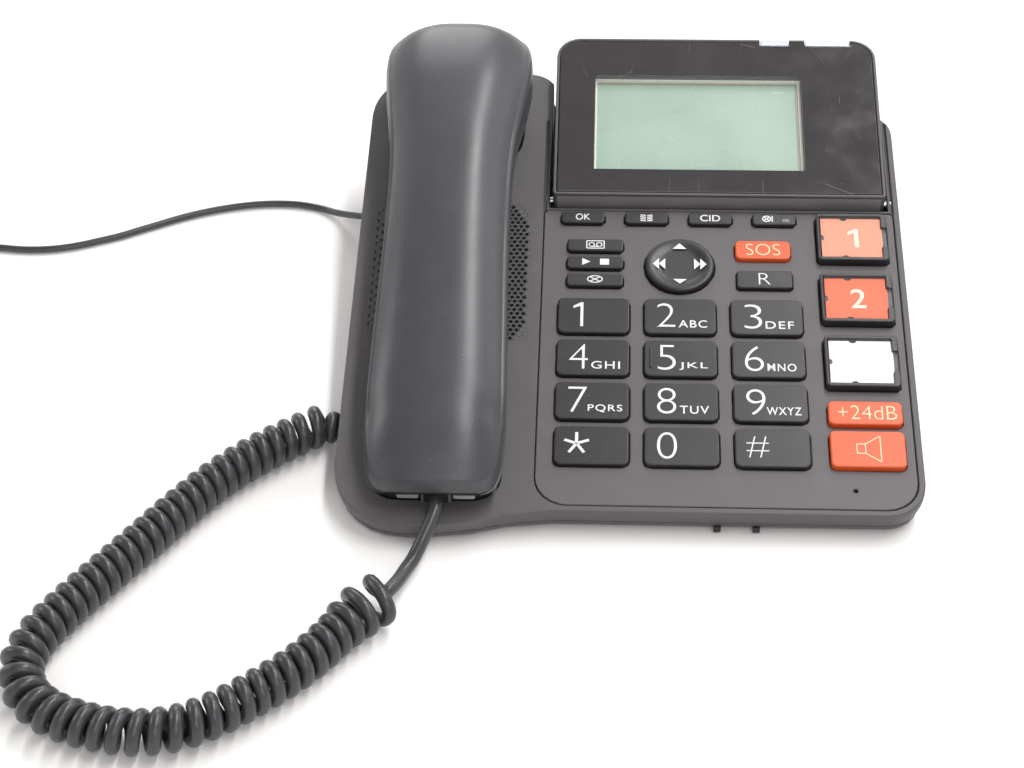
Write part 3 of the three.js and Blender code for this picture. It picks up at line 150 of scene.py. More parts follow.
class Surface:
    """Node tree of one material, built a node at a time."""

    def __init__(self, name: str) -> None:
        """Starts a material with a bare shader.

        Args:
            name: the material's name.
        """
        self.material = bpy.data.materials.new(name)
        self.material.use_nodes = True
        self.tree = self.material.node_tree
        self.tree.nodes.clear()
        self.shader = self.add("ShaderNodeBsdfPrincipled")
        output = self.add("ShaderNodeOutputMaterial")
        self.tree.links.new(self.shader.outputs["BSDF"], output.inputs["Surface"])
        self.place = self.add("ShaderNodeTexCoord").outputs["Object"]

    def add(self, kind: str, inputs: dict[str | int, object] | None = None, **settings: object) -> bpy.types.Node:
        """Adds a node.

        Args:
            kind: the node's type.
            inputs: sockets to link or values to set, by input.
            settings: the node's own properties.

        Returns:
            The new node.
        """
        node = self.tree.nodes.new(kind)
        for name, value in settings.items():
            setattr(node, name, value)
        for name, value in (inputs or {}).items():
            self.set(node, name, value)
        return node

    def set(self, node: bpy.types.Node, name: str | int, value: object) -> None:
        """Links or sets one input.

        Args:
            node: the node that has the input.
            name: the input's name or number.
            value: a socket to link, or a plain value.
        """
        if isinstance(value, Socket):
            self.tree.links.new(value, node.inputs[name])
        else:
            node.inputs[name].default_value = value

    def dress(self, **values: object) -> None:
        """Sets inputs of the shader by name, written with underscores for spaces."""
        for name, value in values.items():
            self.set(self.shader, name.replace("_", " "), value)

    def noise(self, width: float, detail: float = 2.0, stretch: Sequence[float] = (1, 1, 1)) -> Socket:
        """Makes soft random variation round a half, in patches of a width in metres."""
        mapped = self.add("ShaderNodeMapping", {"Vector": self.place, "Scale": stretch}).outputs[0]
        return self.add("ShaderNodeTexNoise", {"Vector": mapped, "Scale": 1 / width, "Detail": detail}).outputs[0]

    def band(self, value: Socket, low: float, high: float, start: float = 0.0, end: float = 1.0) -> Socket:
        """Stretches a value's range from low to high over start to end, and holds it there."""
        ranges = {"From Min": low, "From Max": high, "To Min": start, "To Max": end}
        return self.add("ShaderNodeMapRange", {"Value": value, **ranges}).outputs[0]

    def faint(self, value: Socket, strength: float) -> Socket:
        """Weakens a share from 0 to 1."""
        return self.band(value, 0.0, 1.0, 0.0, strength)

    def product(self, first: Socket, second: Socket) -> Socket:
        """Multiplies two values."""
        return self.add("ShaderNodeMath", {0: first, 1: second}, operation="MULTIPLY").outputs[0]

    def mix(self, share: Socket, first: object, second: object) -> Socket:
        """Blends two colours by the share of the second one."""
        return self.add("ShaderNodeMix", {0: share, 6: first, 7: second}, data_type="RGBA").outputs[2]

    def specks(self, spacing: float, size: float) -> Socket:
        """Scatters specks by their mean spacing and radius: one on a speck and zero off it."""
        cells = self.add("ShaderNodeTexVoronoi", {"Vector": self.place, "Scale": 1 / spacing})
        return self.band(cells.outputs["Distance"], size / spacing, size / spacing / 2)

    def scratches(self, spacing: float, width: float) -> Socket:
        """Draws fine hairlines that come and go.

        Args:
            spacing: mean distance between lines in metres.
            width: half the width of a line in metres.

        Returns:
            One on a line and zero off it.
        """
        bent = self.add("ShaderNodeMapping", {"Vector": self.place, "Rotation": (0.4, 0.2, 0.9), "Scale": (1, 0.35, 1)})
        cells = self.add("ShaderNodeTexVoronoi", {"Vector": bent.outputs[0], "Scale": 1 / spacing},
                         feature="DISTANCE_TO_EDGE")
        lines = self.band(cells.outputs["Distance"], width / spacing, 0.0)
        return self.product(lines, self.band(self.noise(spacing * 0.8), 0.56, 0.66))

    def bump(self, height: Socket, depth: float) -> None:
        """Gives the surface a fine relief, from a height of 0 to 1 and a depth in metres."""
        node = self.add("ShaderNodeBump", {"Height": height, "Distance": depth, "Strength": 1.0})
        self.set(self.shader, "Normal", node.outputs[0])


@dataclass(frozen=True)
class Finish:
    """What a piece is made of, with a material that is built once."""

    name: str
    slot: Slot
    colour: Colour
    roughness: float = 0.5

    def tone(self, s: Surface, share: Socket, low: float, high: float) -> Socket:
        """Varies the finish's colour between a darker and a lighter level."""
        return s.mix(share, linear(self.colour, low), linear(self.colour, high))

    def paint(self, s: Surface) -> None:
        """Fills in the material's nodes, which each kind of finish does in its own way."""
        raise NotImplementedError

    @cache
    def material(self) -> bpy.types.Material:
        """Builds the material once.

        Returns:
            The material.
        """
        s = Surface(self.name)
        self.paint(s)
        return s.material


@dataclass(frozen=True)
class Moulded(Finish):
    """Moulded plastic or rubber with a fine grain, some unevenness and a little dust."""

    grain: float = 0.35 * MM
    depth: float = 0.012 * MM
    mottle: float = 0.08
    dust: float = 0.5

    def paint(self, s: Surface) -> None:
        """Lays soft patches, a grain, a film of dust and specks over the colour.

        Args:
            s: the material's surface.
        """
        broad = s.noise(22 * MM, 3.0)
        fine = s.noise(self.grain, 2.0)
        plain = self.tone(s, broad, 1 - self.mottle, 1 + self.mottle)
        grained = s.mix(s.band(fine, 0.3, 0.7), plain, linear(self.colour, 1.12))
        film = s.band(s.noise(9 * MM, 4.0), 0.5, 0.9, 0.0, 0.05 * self.dust)
        dulled = s.mix(film, grained, linear(DUST))
        dusty = s.mix(s.faint(s.specks(3.4 * MM, 0.16 * MM), self.dust), dulled, linear(DUST))
        s.dress(Base_Color=dusty, Roughness=s.band(broad, 0.2, 0.8, self.roughness - 0.02, self.roughness + 0.03))
        s.bump(fine, self.depth)


@dataclass(frozen=True)
class Glossy(Finish):
    """Polished black plastic with hairlines, smudges and dust."""

    roughness: float = 0.1
    wear: float = 0.35

    def paint(self, s: Surface) -> None:
        """Lays smudges, hairlines and specks over the colour, under a thin clear coat.

        Args:
            s: the material's surface.
        """
        smudge = s.noise(12 * MM, 3.0)
        hairs = s.faint(s.scratches(17 * MM, 0.09 * MM), self.wear)
        worn = s.mix(hairs, self.tone(s, smudge, 0.9, 1.15), linear(HAIRLINE))
        dusty = s.mix(s.faint(s.specks(3.0 * MM, 0.15 * MM), 0.6), worn, linear((170, 165, 160)))
        s.dress(Base_Color=dusty, Roughness=s.band(smudge, 0.35, 0.75, self.roughness * 0.6, self.roughness * 1.8),
                Specular_IOR_Level=0.5, Coat_Weight=0.4, Coat_Roughness=0.08)
        s.bump(s.noise(30 * MM, 1.0), 0.03 * MM)


@dataclass(frozen=True)
class Clear(Finish):
    """Clear or milky plastic."""

    roughness: float = 0.05
    clearness: float = 1.0
    haze: float = 0.2
    thin: bool = False

    def paint(self, s: Surface) -> None:
        """Lets light through, but for hairlines: straight on where it is thin, bent where it is thick.

        Args:
            s: the material's surface.
        """
        marks = s.faint(s.scratches(9 * MM, 0.06 * MM), self.haze)
        flow = s.noise(6 * MM, 2.0)
        s.dress(Base_Color=s.mix(marks, linear(self.colour), linear((240, 240, 238))), IOR=1.49,
                Roughness=s.band(flow, 0.3, 0.7, self.roughness * 0.7, self.roughness * 1.5))
        if self.thin:
            s.dress(Alpha=s.band(marks, 0.0, 1.0, 0.035, 0.7))
        else:
            s.dress(Transmission_Weight=self.clearness)


@dataclass(frozen=True)
class Lcd(Finish):
    """Grey-green display glass with a soft cloudiness."""

    def paint(self, s: Surface) -> None:
        """Clouds the glass and draws hairlines on it, under a thin clear coat.

        Args:
            s: the material's surface.
        """
        cloud = s.noise(26 * MM, 2.0)
        tone = self.tone(s, cloud, 0.92, 1.08)
        hairs = s.faint(s.scratches(13 * MM, 0.12 * MM), 0.45)
        s.dress(Base_Color=s.mix(hairs, tone, linear((214, 224, 216))), Roughness=s.band(cloud, 0.3, 0.7, 0.25, 0.4),
                Coat_Weight=0.5, Coat_Roughness=0.12)


@dataclass(frozen=True)
class Printed(Finish):
    """Printing ink, a paper card, or a flat colour of painted highlight or painted shade."""

    roughness: float = 0.55
    mottle: float = 0.04

    def paint(self, s: Surface) -> None:
        """Varies the ink's colour and shine a little.

        Args:
            s: the material's surface.
        """
        worn = s.noise(1.2 * MM, 3.0)
        tone = self.tone(s, worn, 1 - self.mottle, 1 + self.mottle)
        s.dress(Base_Color=tone, Roughness=s.band(worn, 0.2, 0.8, self.roughness - 0.08, self.roughness + 0.08))
        s.bump(worn, 0.01 * MM)


@dataclass(frozen=True)
class Metal(Finish):
    """Bright metal with drawn lines along one axis."""

    roughness: float = 0.28

    def paint(self, s: Surface) -> None:
        """Draws fine lines in the metal's colour, shine and relief.

        Args:
            s: the material's surface.
        """
        lines = s.noise(2 * MM, 3.0, (0.2, 12, 12))
        tone = self.tone(s, lines, 0.86, 1.06)
        s.dress(Base_Color=tone, Metallic=1.0, Roughness=s.band(lines, 0.2, 0.8, self.roughness, self.roughness + 0.15))
        s.bump(lines, 0.004 * MM)


@dataclass(frozen=True)
class CircuitBoard(Finish):
    """Green solder mask with paler copper tracks under it."""

    def paint(self, s: Surface) -> None:
        """Lays the tracks as the joints of a brick pattern.

        Args:
            s: the material's surface.
        """
        bricks = s.add("ShaderNodeTexBrick", {
            "Vector": s.place, "Scale": 1.0, "Brick Width": 7 * MM, "Row Height": 2.4 * MM, "Mortar Size": 0.35 * MM,
            "Color1": linear(self.colour), "Color2": linear(self.colour, 1.2), "Mortar": linear((96, 140, 92)),
        }).outputs["Color"]
        s.dress(Base_Color=bricks, Roughness=s.band(s.noise(3 * MM), 0.3, 0.7, 0.3, 0.45))


CASE = Moulded("case_texture", Slot.CASE, (79, 76, 78), 0.5)
PANEL = Moulded("panel_texture", Slot.CASE, (86, 81, 84), 0.5)
# Painted light: a pale sheet, lighter than the panel, that makes the shaded front of the display's foot read as lit.
SILL_PAINTED_LIGHT = Moulded("sill_painted_light", Slot.CASE, (132, 127, 129), 0.5)
SHELL = Moulded("handset_texture", Slot.CASE, (63, 62, 66), 0.33, grain=0.3 * MM, depth=0.006 * MM, dust=0.6)
KEYTOP = Moulded("key_satin", Slot.KEY, (37, 36, 37), 0.36, grain=0.25 * MM, depth=0.004 * MM)
FRAME = Moulded("photo_key_satin", Slot.KEY, (39, 37, 40), 0.38, depth=0.004 * MM)
ORANGE = Moulded("orange_satin", Slot.ORANGE, (209, 84, 36), 0.4, grain=0.25 * MM, depth=0.004 * MM, dust=0.3)
DARK = Moulded("inner_dark", Slot.CASE, (36, 35, 36), 0.6)
# Painted highlight: pale bars beside the handset's socket stand in for light seen under its front end.
SLIT_PAINTED_HIGHLIGHT = Moulded("slit_painted_highlight", Slot.CASE, (132, 130, 126), 0.45)
# Near-black speaker cloth under the grille, also used for the discs of painted shade that stand for the caps' holes.
CLOTH_AND_HOLE_SHADE = Moulded("grille_cloth", Slot.CASE, (9, 9, 9), 0.95, grain=0.5 * MM, depth=0.1 * MM, dust=0.1)
RUBBER = Moulded("foot_rubber_matt", Slot.RUBBER, (30, 30, 31), 0.88, depth=0.03 * MM)
SILICONE = Moulded("keypad_silicone", Slot.SILICONE, (120, 122, 124), 0.7, dust=0.2)
JACKET = Moulded("cord_jacket", Slot.CORD, (56, 56, 59), 0.3, grain=0.5 * MM, depth=0.008 * MM, dust=0.4)
BEZEL = Glossy("bezel_gloss", Slot.GLOSS, (62, 59, 61))
PLUG_CLEAR = Clear("plug_plastic", Slot.CLEAR, (226, 230, 232), 0.08, clearness=0.85)
COVER_CLEAR = Clear("cover_plastic", Slot.CLEAR, (235, 232, 230), thin=True)
PANE_CLEAR = Clear("pane_plastic", Slot.CLEAR, (225, 232, 228), 0.06, haze=0.5, thin=True)
MILKY = Clear("light_guide_milk", Slot.CLEAR, (232, 237, 246), 0.25, clearness=0.3)
GLASS = Lcd("display_glass", Slot.LCD, (156, 179, 164))
LEGEND = Printed("legend_white", Slot.KEY, (232, 231, 229))
CREAM = Printed("legend_cream", Slot.ORANGE, (250, 226, 190))
# Painted highlight: pale strips along the display window's edges stand in for light on the window rim.
PAINTED_EDGE_HIGHLIGHT = Printed("window_painted_highlight", Slot.LCD, (226, 226, 214), 0.3, mottle=0.06)
# Painted shade: darker strips beside the pale ones stand in for the shadow under the window rim.
PAINTED_EDGE_SHADE = Printed("window_painted_shade", Slot.LCD, (142, 142, 128), 0.4, mottle=0.1)
CARD_SALMON = Printed("card_salmon", Slot.KEY, (230, 147, 116), mottle=0.03)
CARD_RED = Printed("card_red", Slot.KEY, (228, 98, 52), mottle=0.05)
CARD_WHITE = Printed("card_white", Slot.KEY, (246, 245, 244), mottle=0.01)
CARD_CREAM = Printed("card_figure", Slot.KEY, (252, 232, 206), mottle=0.02)
STEEL = Metal("drawn_steel", Slot.STEEL, (200, 200, 202))
GOLD = Metal("contact_gold", Slot.STEEL, (214, 176, 96))
BOARD = CircuitBoard("solder_mask", Slot.BOARD, (42, 92, 58))


def mm(*sizes: float) -> tuple[float, ...]:
    """Turns millimetres into metres."""
    return tuple(size * MM for size in sizes)


def move(x: float, y: float, z: float = 0.0) -> Matrix:
    """Makes a plain move."""
    return Matrix.Translation((x, y, z))


def body_of(node: str) -> str:
    """Reads the body that a CAD node rides on."""
    return frame["nodes"][node]["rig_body"]


def span(node: str, place: Matrix = STILL) -> tuple[Vector, Vector]:
    """Finds the box of a CAD node in a frame of its own.

    Args:
        node: the node's name.
        place: where that frame stands.

    Returns:
        The lowest and the highest corner.
    """
    back = place.inverted()
    points = [back @ vertex.co for vertex in frame["nodes"][node].data.vertices]
    low, high = ([pick(p[axis] for p in points) for axis in range(3)] for pick in (min, max))
    return Vector(low), Vector(high)


def panel_frame() -> Matrix:
    """Finds the frame of the sloping panel from the dial keys round its middle.

    Returns:
        The frame: x across, y up the slope, z out of it.
    """
    turn = Matrix.Rotation(PANEL_TILT, 4, "X")
    low, high = span("dial_key_5", turn)
    near, _ = span("dial_key_8", turn)
    return turn @ move((low.x + high.x) / 2, (near.y + high.y) / 2, high.z - KEY_RISE)


SLOPE = panel_frame()
GROUND = move(SLOPE.translation.x, SLOPE.translation.y)


def on_table(*points: Triple) -> list[Vector]:
    """Places points that are given in millimetres from the panel's middle, over the table."""
    return [GROUND @ (Vector(point) * MM) for point in points]


def mouth(plug: str) -> Vector:
    """Finds where a cord leaves a plug of the base, just outside its left end."""
    low, high = span(plug)
    return Vector((low.x - PLUG_GAP, (low.y + high.y) / 2, (low.z + high.z) / 2))


def copied(node: str) -> BMesh:
    """Copies the mesh of a CAD node, and joins its corners.

    Args:
        node: the node.

    Returns:
        The mesh.
    """
    bm = bmesh.new()
    bm.from_mesh(frame["nodes"][node].data)
    bmesh.ops.remove_doubles(bm, verts=bm.verts, dist=WELD)
    return bm


def shown(name: str, mesh: bpy.types.Mesh, finish: Finish, body: str | None, stands_for: Sequence[str] = ()) -> Thing:
    """Puts a mesh in the scene as a piece.

    Args:
        name: the piece's name.
        mesh: its mesh, in its place.
        finish: what it is made of.
        body: the CAD body that it rides on, or none.
        stands_for: CAD nodes that it replaces.

    Returns:
        The piece.
    """
    piece = bpy.data.objects.new(name, mesh)
    bpy.context.scene.collection.objects.link(piece)
    mesh.materials.clear()
    mesh.materials.append(finish.material())
    if stands_for:
        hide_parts(*stands_for)
    if body:
        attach(piece, body)
    return piece


def built(
    name: str, bm: BMesh, finish: Finish, body: str, place: Matrix = STILL,
    stands_for: Sequence[str] = (), crease: float = 35, outward: bool = True, flat: bool = True,
) -> Thing:
    """Turns a finished bmesh into a piece.

    Args:
        name: the piece's name.
        bm: the mesh, which is used up.
        finish: what it is made of.
        body: the CAD body that it rides on.
        place: the frame that it was built in.
        stands_for: CAD nodes that it replaces.
        crease: edges sharper than this many degrees stay sharp.
        outward: whether its faces are turned outwards first.
        flat: whether its large faces are shaded flat up to their edges.

    Returns:
        The piece.
    """
    bmesh.ops.transform(bm, matrix=place, verts=bm.verts)
    if outward:
        bmesh.ops.recalc_face_normals(bm, faces=bm.faces)
    for face in bm.faces:
        face.smooth = True
    for edge in bm.edges:
        edge.smooth = edge.calc_face_angle(0.0) < math.radians(crease)
    mesh = bpy.data.meshes.new(name)
    bm.to_mesh(mesh)
    bm.free()
    piece = shown(name, mesh, finish, body, stands_for)
    if flat:
        piece.modifiers.new("even_shading", "WEIGHTED_NORMAL").keep_sharp = True
    return piece


def smoother(bm: BMesh, crease: float) -> None:
    """Cuts the blunt edges of round corners, so that their outline is twice as fine.

    Args:
        bm: the mesh.
        crease: edges sharper than this many degrees are left.
    """
    blunt = [edge for edge in bm.edges if math.radians(8) < edge.calc_face_angle(0.0) < math.radians(crease)
             and edge.calc_length() > 3 * MM]
    bmesh.ops.bevel(bm, geom=blunt, offset=25, offset_type="PERCENT", segments=1, profile=0.5, affect="EDGES",
                    material=-1, clamp_overlap=True)


def rounded(piece: Thing, edge: float, crease: float) -> None:
    """Rounds the sharp edges of a piece and keeps its large faces flat.

    Args:
        piece: the piece.
        edge: how far its edges are rounded.
        crease: edges sharper than this many degrees are rounded.
    """
    bevel = piece.modifiers.new("rounded", "BEVEL")
    bevel.width = edge
    bevel.segments = 2
    bevel.limit_method = "ANGLE"
    bevel.angle_limit = math.radians(crease)
    bevel.use_clamp_overlap = False
    piece.modifiers.new("even_shading", "WEIGHTED_NORMAL").keep_sharp = True


def refined(node: str, finish: Finish, edge: float = 0.3 * MM, crease: float = 32) -> Thing:
    """Makes a piece from a copy of a CAD node, with rounded edges.

    Args:
        node: the node, which the piece replaces.
        finish: what it is made of.
        edge: how far its edges are rounded.
        crease: edges sharper than this many degrees are rounded.

    Returns:
        The piece.
    """
    bm = copied(node)
    bmesh.ops.dissolve_limit(bm, angle_limit=SAME_PLANE, verts=bm.verts, edges=bm.edges)
    smoother(bm, crease)
    bmesh.ops.connect_verts_concave(bm, faces=bm.faces)
    piece = built(f"{node}_piece", bm, finish, body_of(node), stands_for=[node], crease=crease, outward=False,
                  flat=False)
    rounded(piece, edge, crease)
    return piece


def flat_plate(width: float, depth: float, corner: float, steps: int = 6) -> BMesh:
    """Makes a flat rectangle with rounded corners.

    Args:
        width: its size along x.
        depth: its size along y.
        corner: radius of its corners.
        steps: pieces in a corner.

    Returns:
        The mesh, of one face.
    """
    bm = bmesh.new()
    bmesh.ops.create_grid(bm, x_segments=1, y_segments=1, size=0.5)
    bmesh.ops.scale(bm, vec=(width, depth, 1), verts=bm.verts)
    if corner:
        bmesh.ops.bevel(bm, geom=bm.verts[:], offset=corner, segments=steps, profile=0.5, affect="VERTICES",
                        material=-1)
    return bm


def extrude(bm: BMesh, way: Triple) -> None:
    """Draws the faces of a mesh out.

    Args:
        bm: the mesh.
        way: how far they move.
    """
    made = bmesh.ops.extrude_face_region(bm, geom=bm.faces[:])
    moved = [item for item in made["geom"] if isinstance(item, bmesh.types.BMVert)]
    bmesh.ops.translate(bm, verts=moved, vec=way)


def thicken(bm: BMesh, low: float, high: float) -> BMesh:
    """Gives a flat mesh thickness.

    Args:
        bm: the mesh, at height zero.
        low: its new underside.
        high: its new top.

    Returns:
        The same mesh.
    """
    extrude(bm, (0, 0, high - low))
    bmesh.ops.translate(bm, verts=bm.verts, vec=(0, 0, low))
    return bm


def upper_edges(bm: BMesh) -> list[bmesh.types.BMEdge]:
    """Lists the edges round the highest face of a mesh."""
    top = max(bm.faces, key=lambda face: face.calc_center_median().z)
    return top.edges[:]


def pad(width: float, depth: float, corner: float, low: float, high: float, edge: float) -> BMesh:
    """Makes a plate with rounded corners and a rounded upper edge.

    Args:
        width: its size along x.
        depth: its size along y.
        corner: radius of its corners.
        low: its underside.
        high: its top.
        edge: how far its upper edge is rounded.

    Returns:
        The mesh.
    """
    bm = thicken(flat_plate(width, depth, corner), low, high)
    bmesh.ops.bevel(bm, geom=upper_edges(bm), offset=edge, segments=4, profile=0.5, affect="EDGES", material=-1)
    return bm


def sheet_over(columns: int, rows: int, place: Callable[[int, int], Vector]) -> BMesh:
    """Rolls a grid into a form.

    Args:
        columns: faces round the form.
        rows: faces along it.
        place: where each column and row goes.

    Returns:
        The mesh, with its meeting edges joined.
    """
    bm = bmesh.new()
    bmesh.ops.create_grid(bm, x_segments=columns, y_segments=rows, size=0.5)
    for vertex in bm.verts:
        vertex.co = place(round((vertex.co.x + 0.5) * columns), round((vertex.co.y + 0.5) * rows))
    bmesh.ops.remove_doubles(bm, verts=bm.verts, dist=WELD)
    bmesh.ops.dissolve_degenerate(bm, edges=bm.edges, dist=WELD)
    return bm


def turned(profile: Sequence[tuple[float, float]], sides: int = 48) -> BMesh:
    """Turns a profile round the z axis.

    Args:
        profile: radius and height of each point, in metres.
        sides: pieces round it.

    Returns:
        The mesh.
    """
    bm = bmesh.new()
    points = [bm.verts.new((radius, 0, height)) for radius, height in profile]
    edges = [bm.edges.new(pair) for pair in zip(points, points[1:])]
    bmesh.ops.spin(bm, geom=points + edges, axis=(0, 0, 1), cent=(0, 0, 0), angle=math.tau, steps=sides,
                   use_merge=True)
    bmesh.ops.remove_doubles(bm, verts=bm.verts, dist=WELD)
    return bm


class Stencil:
    """Flat figures drawn in one plane, in millimetres, which become one print."""

    def __init__(self) -> None:
        """Starts an empty drawing."""
        self.drawing = bmesh.new()

    def words(self, text: str, x: float, y: float, width: float, height: float, weight: float = -0.02,
              spacing: float = 1.0) -> "Stencil":
        """Draws words that fill a rectangle.

        Args:
            text: the words.
            x: middle of the rectangle.
            y: middle of the rectangle.
            width: its width.
            height: its height.
            weight: how much thicker or thinner the strokes are.
            spacing: how far apart the letters stand.

        Returns:
            The same drawing.
        """
        curve = bpy.data.curves.new("words", "FONT")
        curve.body, curve.offset, curve.space_character = text, weight, spacing
        mesh = as_mesh("words", curve)
        low, high = ([pick(v.co[axis] for v in mesh.vertices) for axis in range(2)] for pick in (min, max))
        scale = Matrix.Diagonal((width / (high[0] - low[0]), height / (high[1] - low[1]), 1, 1))
        centre = move(-(low[0] + high[0]) / 2, -(low[1] + high[1]) / 2)
        mesh.transform(move(x, y) @ scale @ centre)
        self.drawing.from_mesh(mesh)
        return self

    def figure(self, *corners: Pair) -> "Stencil":
        """Draws a filled figure from its corners in order."""
        self.drawing.faces.new([self.drawing.verts.new((x, y, 0)) for x, y in corners])
        return self

    def line(self, start: Pair, end: Pair, width: float) -> "Stencil":
        """Draws a straight line.

        Args:
            start: one end.
            end: the other end.
            width: how wide it is.

        Returns:
            The same drawing.
        """
        along = Vector(end) - Vector(start)
        side = Vector((-along.y, along.x)).normalized() * width / 2
        return self.figure(*(tuple(Vector(point) + side * sign) for point, sign in (
            (start, -1), (end, -1), (end, 1), (start, 1))))

    def outline(self, corners: Sequence[Pair], width: float) -> "Stencil":
        """Draws a closed line of a width through corners in order."""
        for start, end in zip(corners, [*corners[1:], corners[0]]):
            self.line(start, end, width)
        return self

    def oval(self, x: float, y: float, width: float, height: float, line: float, sides: int = 20) -> "Stencil":
        """Draws an oval line round a middle."""
        angles = [math.tau * side / sides for side in range(sides)]
        return self.outline([(x + width / 2 * math.cos(a), y + height / 2 * math.sin(a)) for a in angles], line)

    def printed(self, name: str, place: Matrix, height: float, finish: Finish, body: str) -> Thing:
        """Makes the drawing a thin print on a surface.

        Args:
            name: the piece's name.
            place: the frame of the surface.
            height: where the surface lies in it, in metres.
            finish: the ink.
            body: the CAD body that it rides on.

        Returns:
            The piece.
        """
        bmesh.ops.scale(self.drawing, vec=(MM, MM, 1), verts=self.drawing.verts)
        thicken(self.drawing, height - PRINT, height + PRINT)
        return built(name, self.drawing, finish, body, place, crease=20)

    def legend(self, node: str, place: Matrix, finish: Finish = LEGEND) -> Thing:
        """Prints the drawing on top of a key."""
        return self.printed(f"{node}_legend", place, 0, finish, node)


def as_mesh(name: str, curve: bpy.types.Curve) -> bpy.types.Mesh:
    """Turns a curve or words into a mesh.

    Args:
        name: a name for the curve's stand-in.
        curve: the curve.

    Returns:
        The mesh.
    """
    holder = bpy.data.objects.new(name, curve)
    bpy.context.scene.collection.objects.link(holder)
    graph = bpy.context.evaluated_depsgraph_get()
    mesh = bpy.data.meshes.new_from_object(holder.evaluated_get(graph))
    bpy.data.objects.remove(holder)
    return mesh


def hermite(t: float, start: Spot, leave: Spot, end: Spot, reach: Spot) -> Spot:
    """Reads a cubic at t from its value and slope at either end."""
    return (start * (2 * t**3 - 3 * t**2 + 1) + leave * (t**3 - 2 * t**2 + t)
            + end * (3 * t**2 - 2 * t**3) + reach * (t**3 - t**2))


def joint_curve(points: Sequence[Vector], samples: int = 32) -> list[Vector]:
    """Runs a smooth curve through points, which never loops back on itself.

    Args:
        points: the points in order.
        samples: pieces between two points.

    Returns:
        Points along the curve.
    """
    path = [points[0] * 2 - points[1], *points, points[-1] * 2 - points[-2]]
    made: list[Vector] = []
    for before, start, end, after in zip(path, path[1:], path[2:], path[3:]):
        first, middle, last = ((b - a).length ** 0.5 for a, b in ((before, start), (start, end), (end, after)))
        leave = ((start - before) / first - (end - before) / (first + middle) + (end - start) / middle) * middle
        reach = ((end - start) / middle - (after - start) / (middle + last) + (after - end) / last) * middle
        for step in range(samples):
            made.append(hermite(step / samples, start, leave, end, reach))
    return [*made, points[-1].copy()]


class Route:
    """A smooth curve that can be read by distance along it."""

    def __init__(self, points: Sequence[Vector]) -> None:
        """Measures the curve through points.

        Args:
            points: the points in order.
        """
        self.points = joint_curve(points)
        self.marks = [0.0]
        for here, there in zip(self.points, self.points[1:]):
            self.marks.append(self.marks[-1] + (there - here).length)
        self.length = self.marks[-1]

    def at(self, along: float) -> Vector:
        """Finds a point of the curve.

        Args:
            along: its distance from the start.

        Returns:
            The point, which is held within the curve's ends.
        """
        along = min(max(along, 0.0), self.length)
        low, high = 0, len(self.marks) - 1
        while high - low > 1:
            middle = (low + high) // 2
            low, high = (middle, high) if self.marks[middle] <= along else (low, middle)
        share = (along - self.marks[low]) / max(self.marks[high] - self.marks[low], 1e-12)
        return self.points[low].lerp(self.points[high], share)

    def heading(self, along: float, reach: float = 0.5 * MM) -> Vector:
        """Finds the direction at a distance along the curve."""
        along = min(max(along, reach), self.length - reach)
        return (self.at(along + reach) - self.at(along - reach)).normalized()


def smooth(low: float, high: float, value: float) -> float:
    """Rises smoothly from 0 at a low value to 1 at a high one."""
    share = min(max((value - low) / (high - low), 0.0), 1.0)
    return share * share * (3 - 2 * share)


def run_of(points: Sequence[Vector]) -> float:
    """Adds up the distance along a list of points."""
    return sum((there - here).length for here, there in zip(points, points[1:]))


def tube(name: str, points: Sequence[Vector], radius: float, sides: int = 3) -> bpy.types.Mesh:
    """Makes a round tube through points.

    Args:
        name: the mesh's name.
        points: its centre line.
        radius: its radius.
        sides: pieces in a quarter of its section.

    Returns:
        The mesh, closed at its ends.
    """
    curve = bpy.data.curves.new(name, "CURVE")
    curve.dimensions, curve.bevel_depth, curve.bevel_resolution, curve.use_fill_caps = "3D", radius, sides, True
    spline = curve.splines.new("POLY")
    spline.points.add(len(points) - 1)
    for knot, point in zip(spline.points, points):
        knot.co = (*point, 1)
    mesh = as_mesh(name, curve)
    mesh.polygons.foreach_set("use_smooth", [True] * len(mesh.polygons))
    return mesh


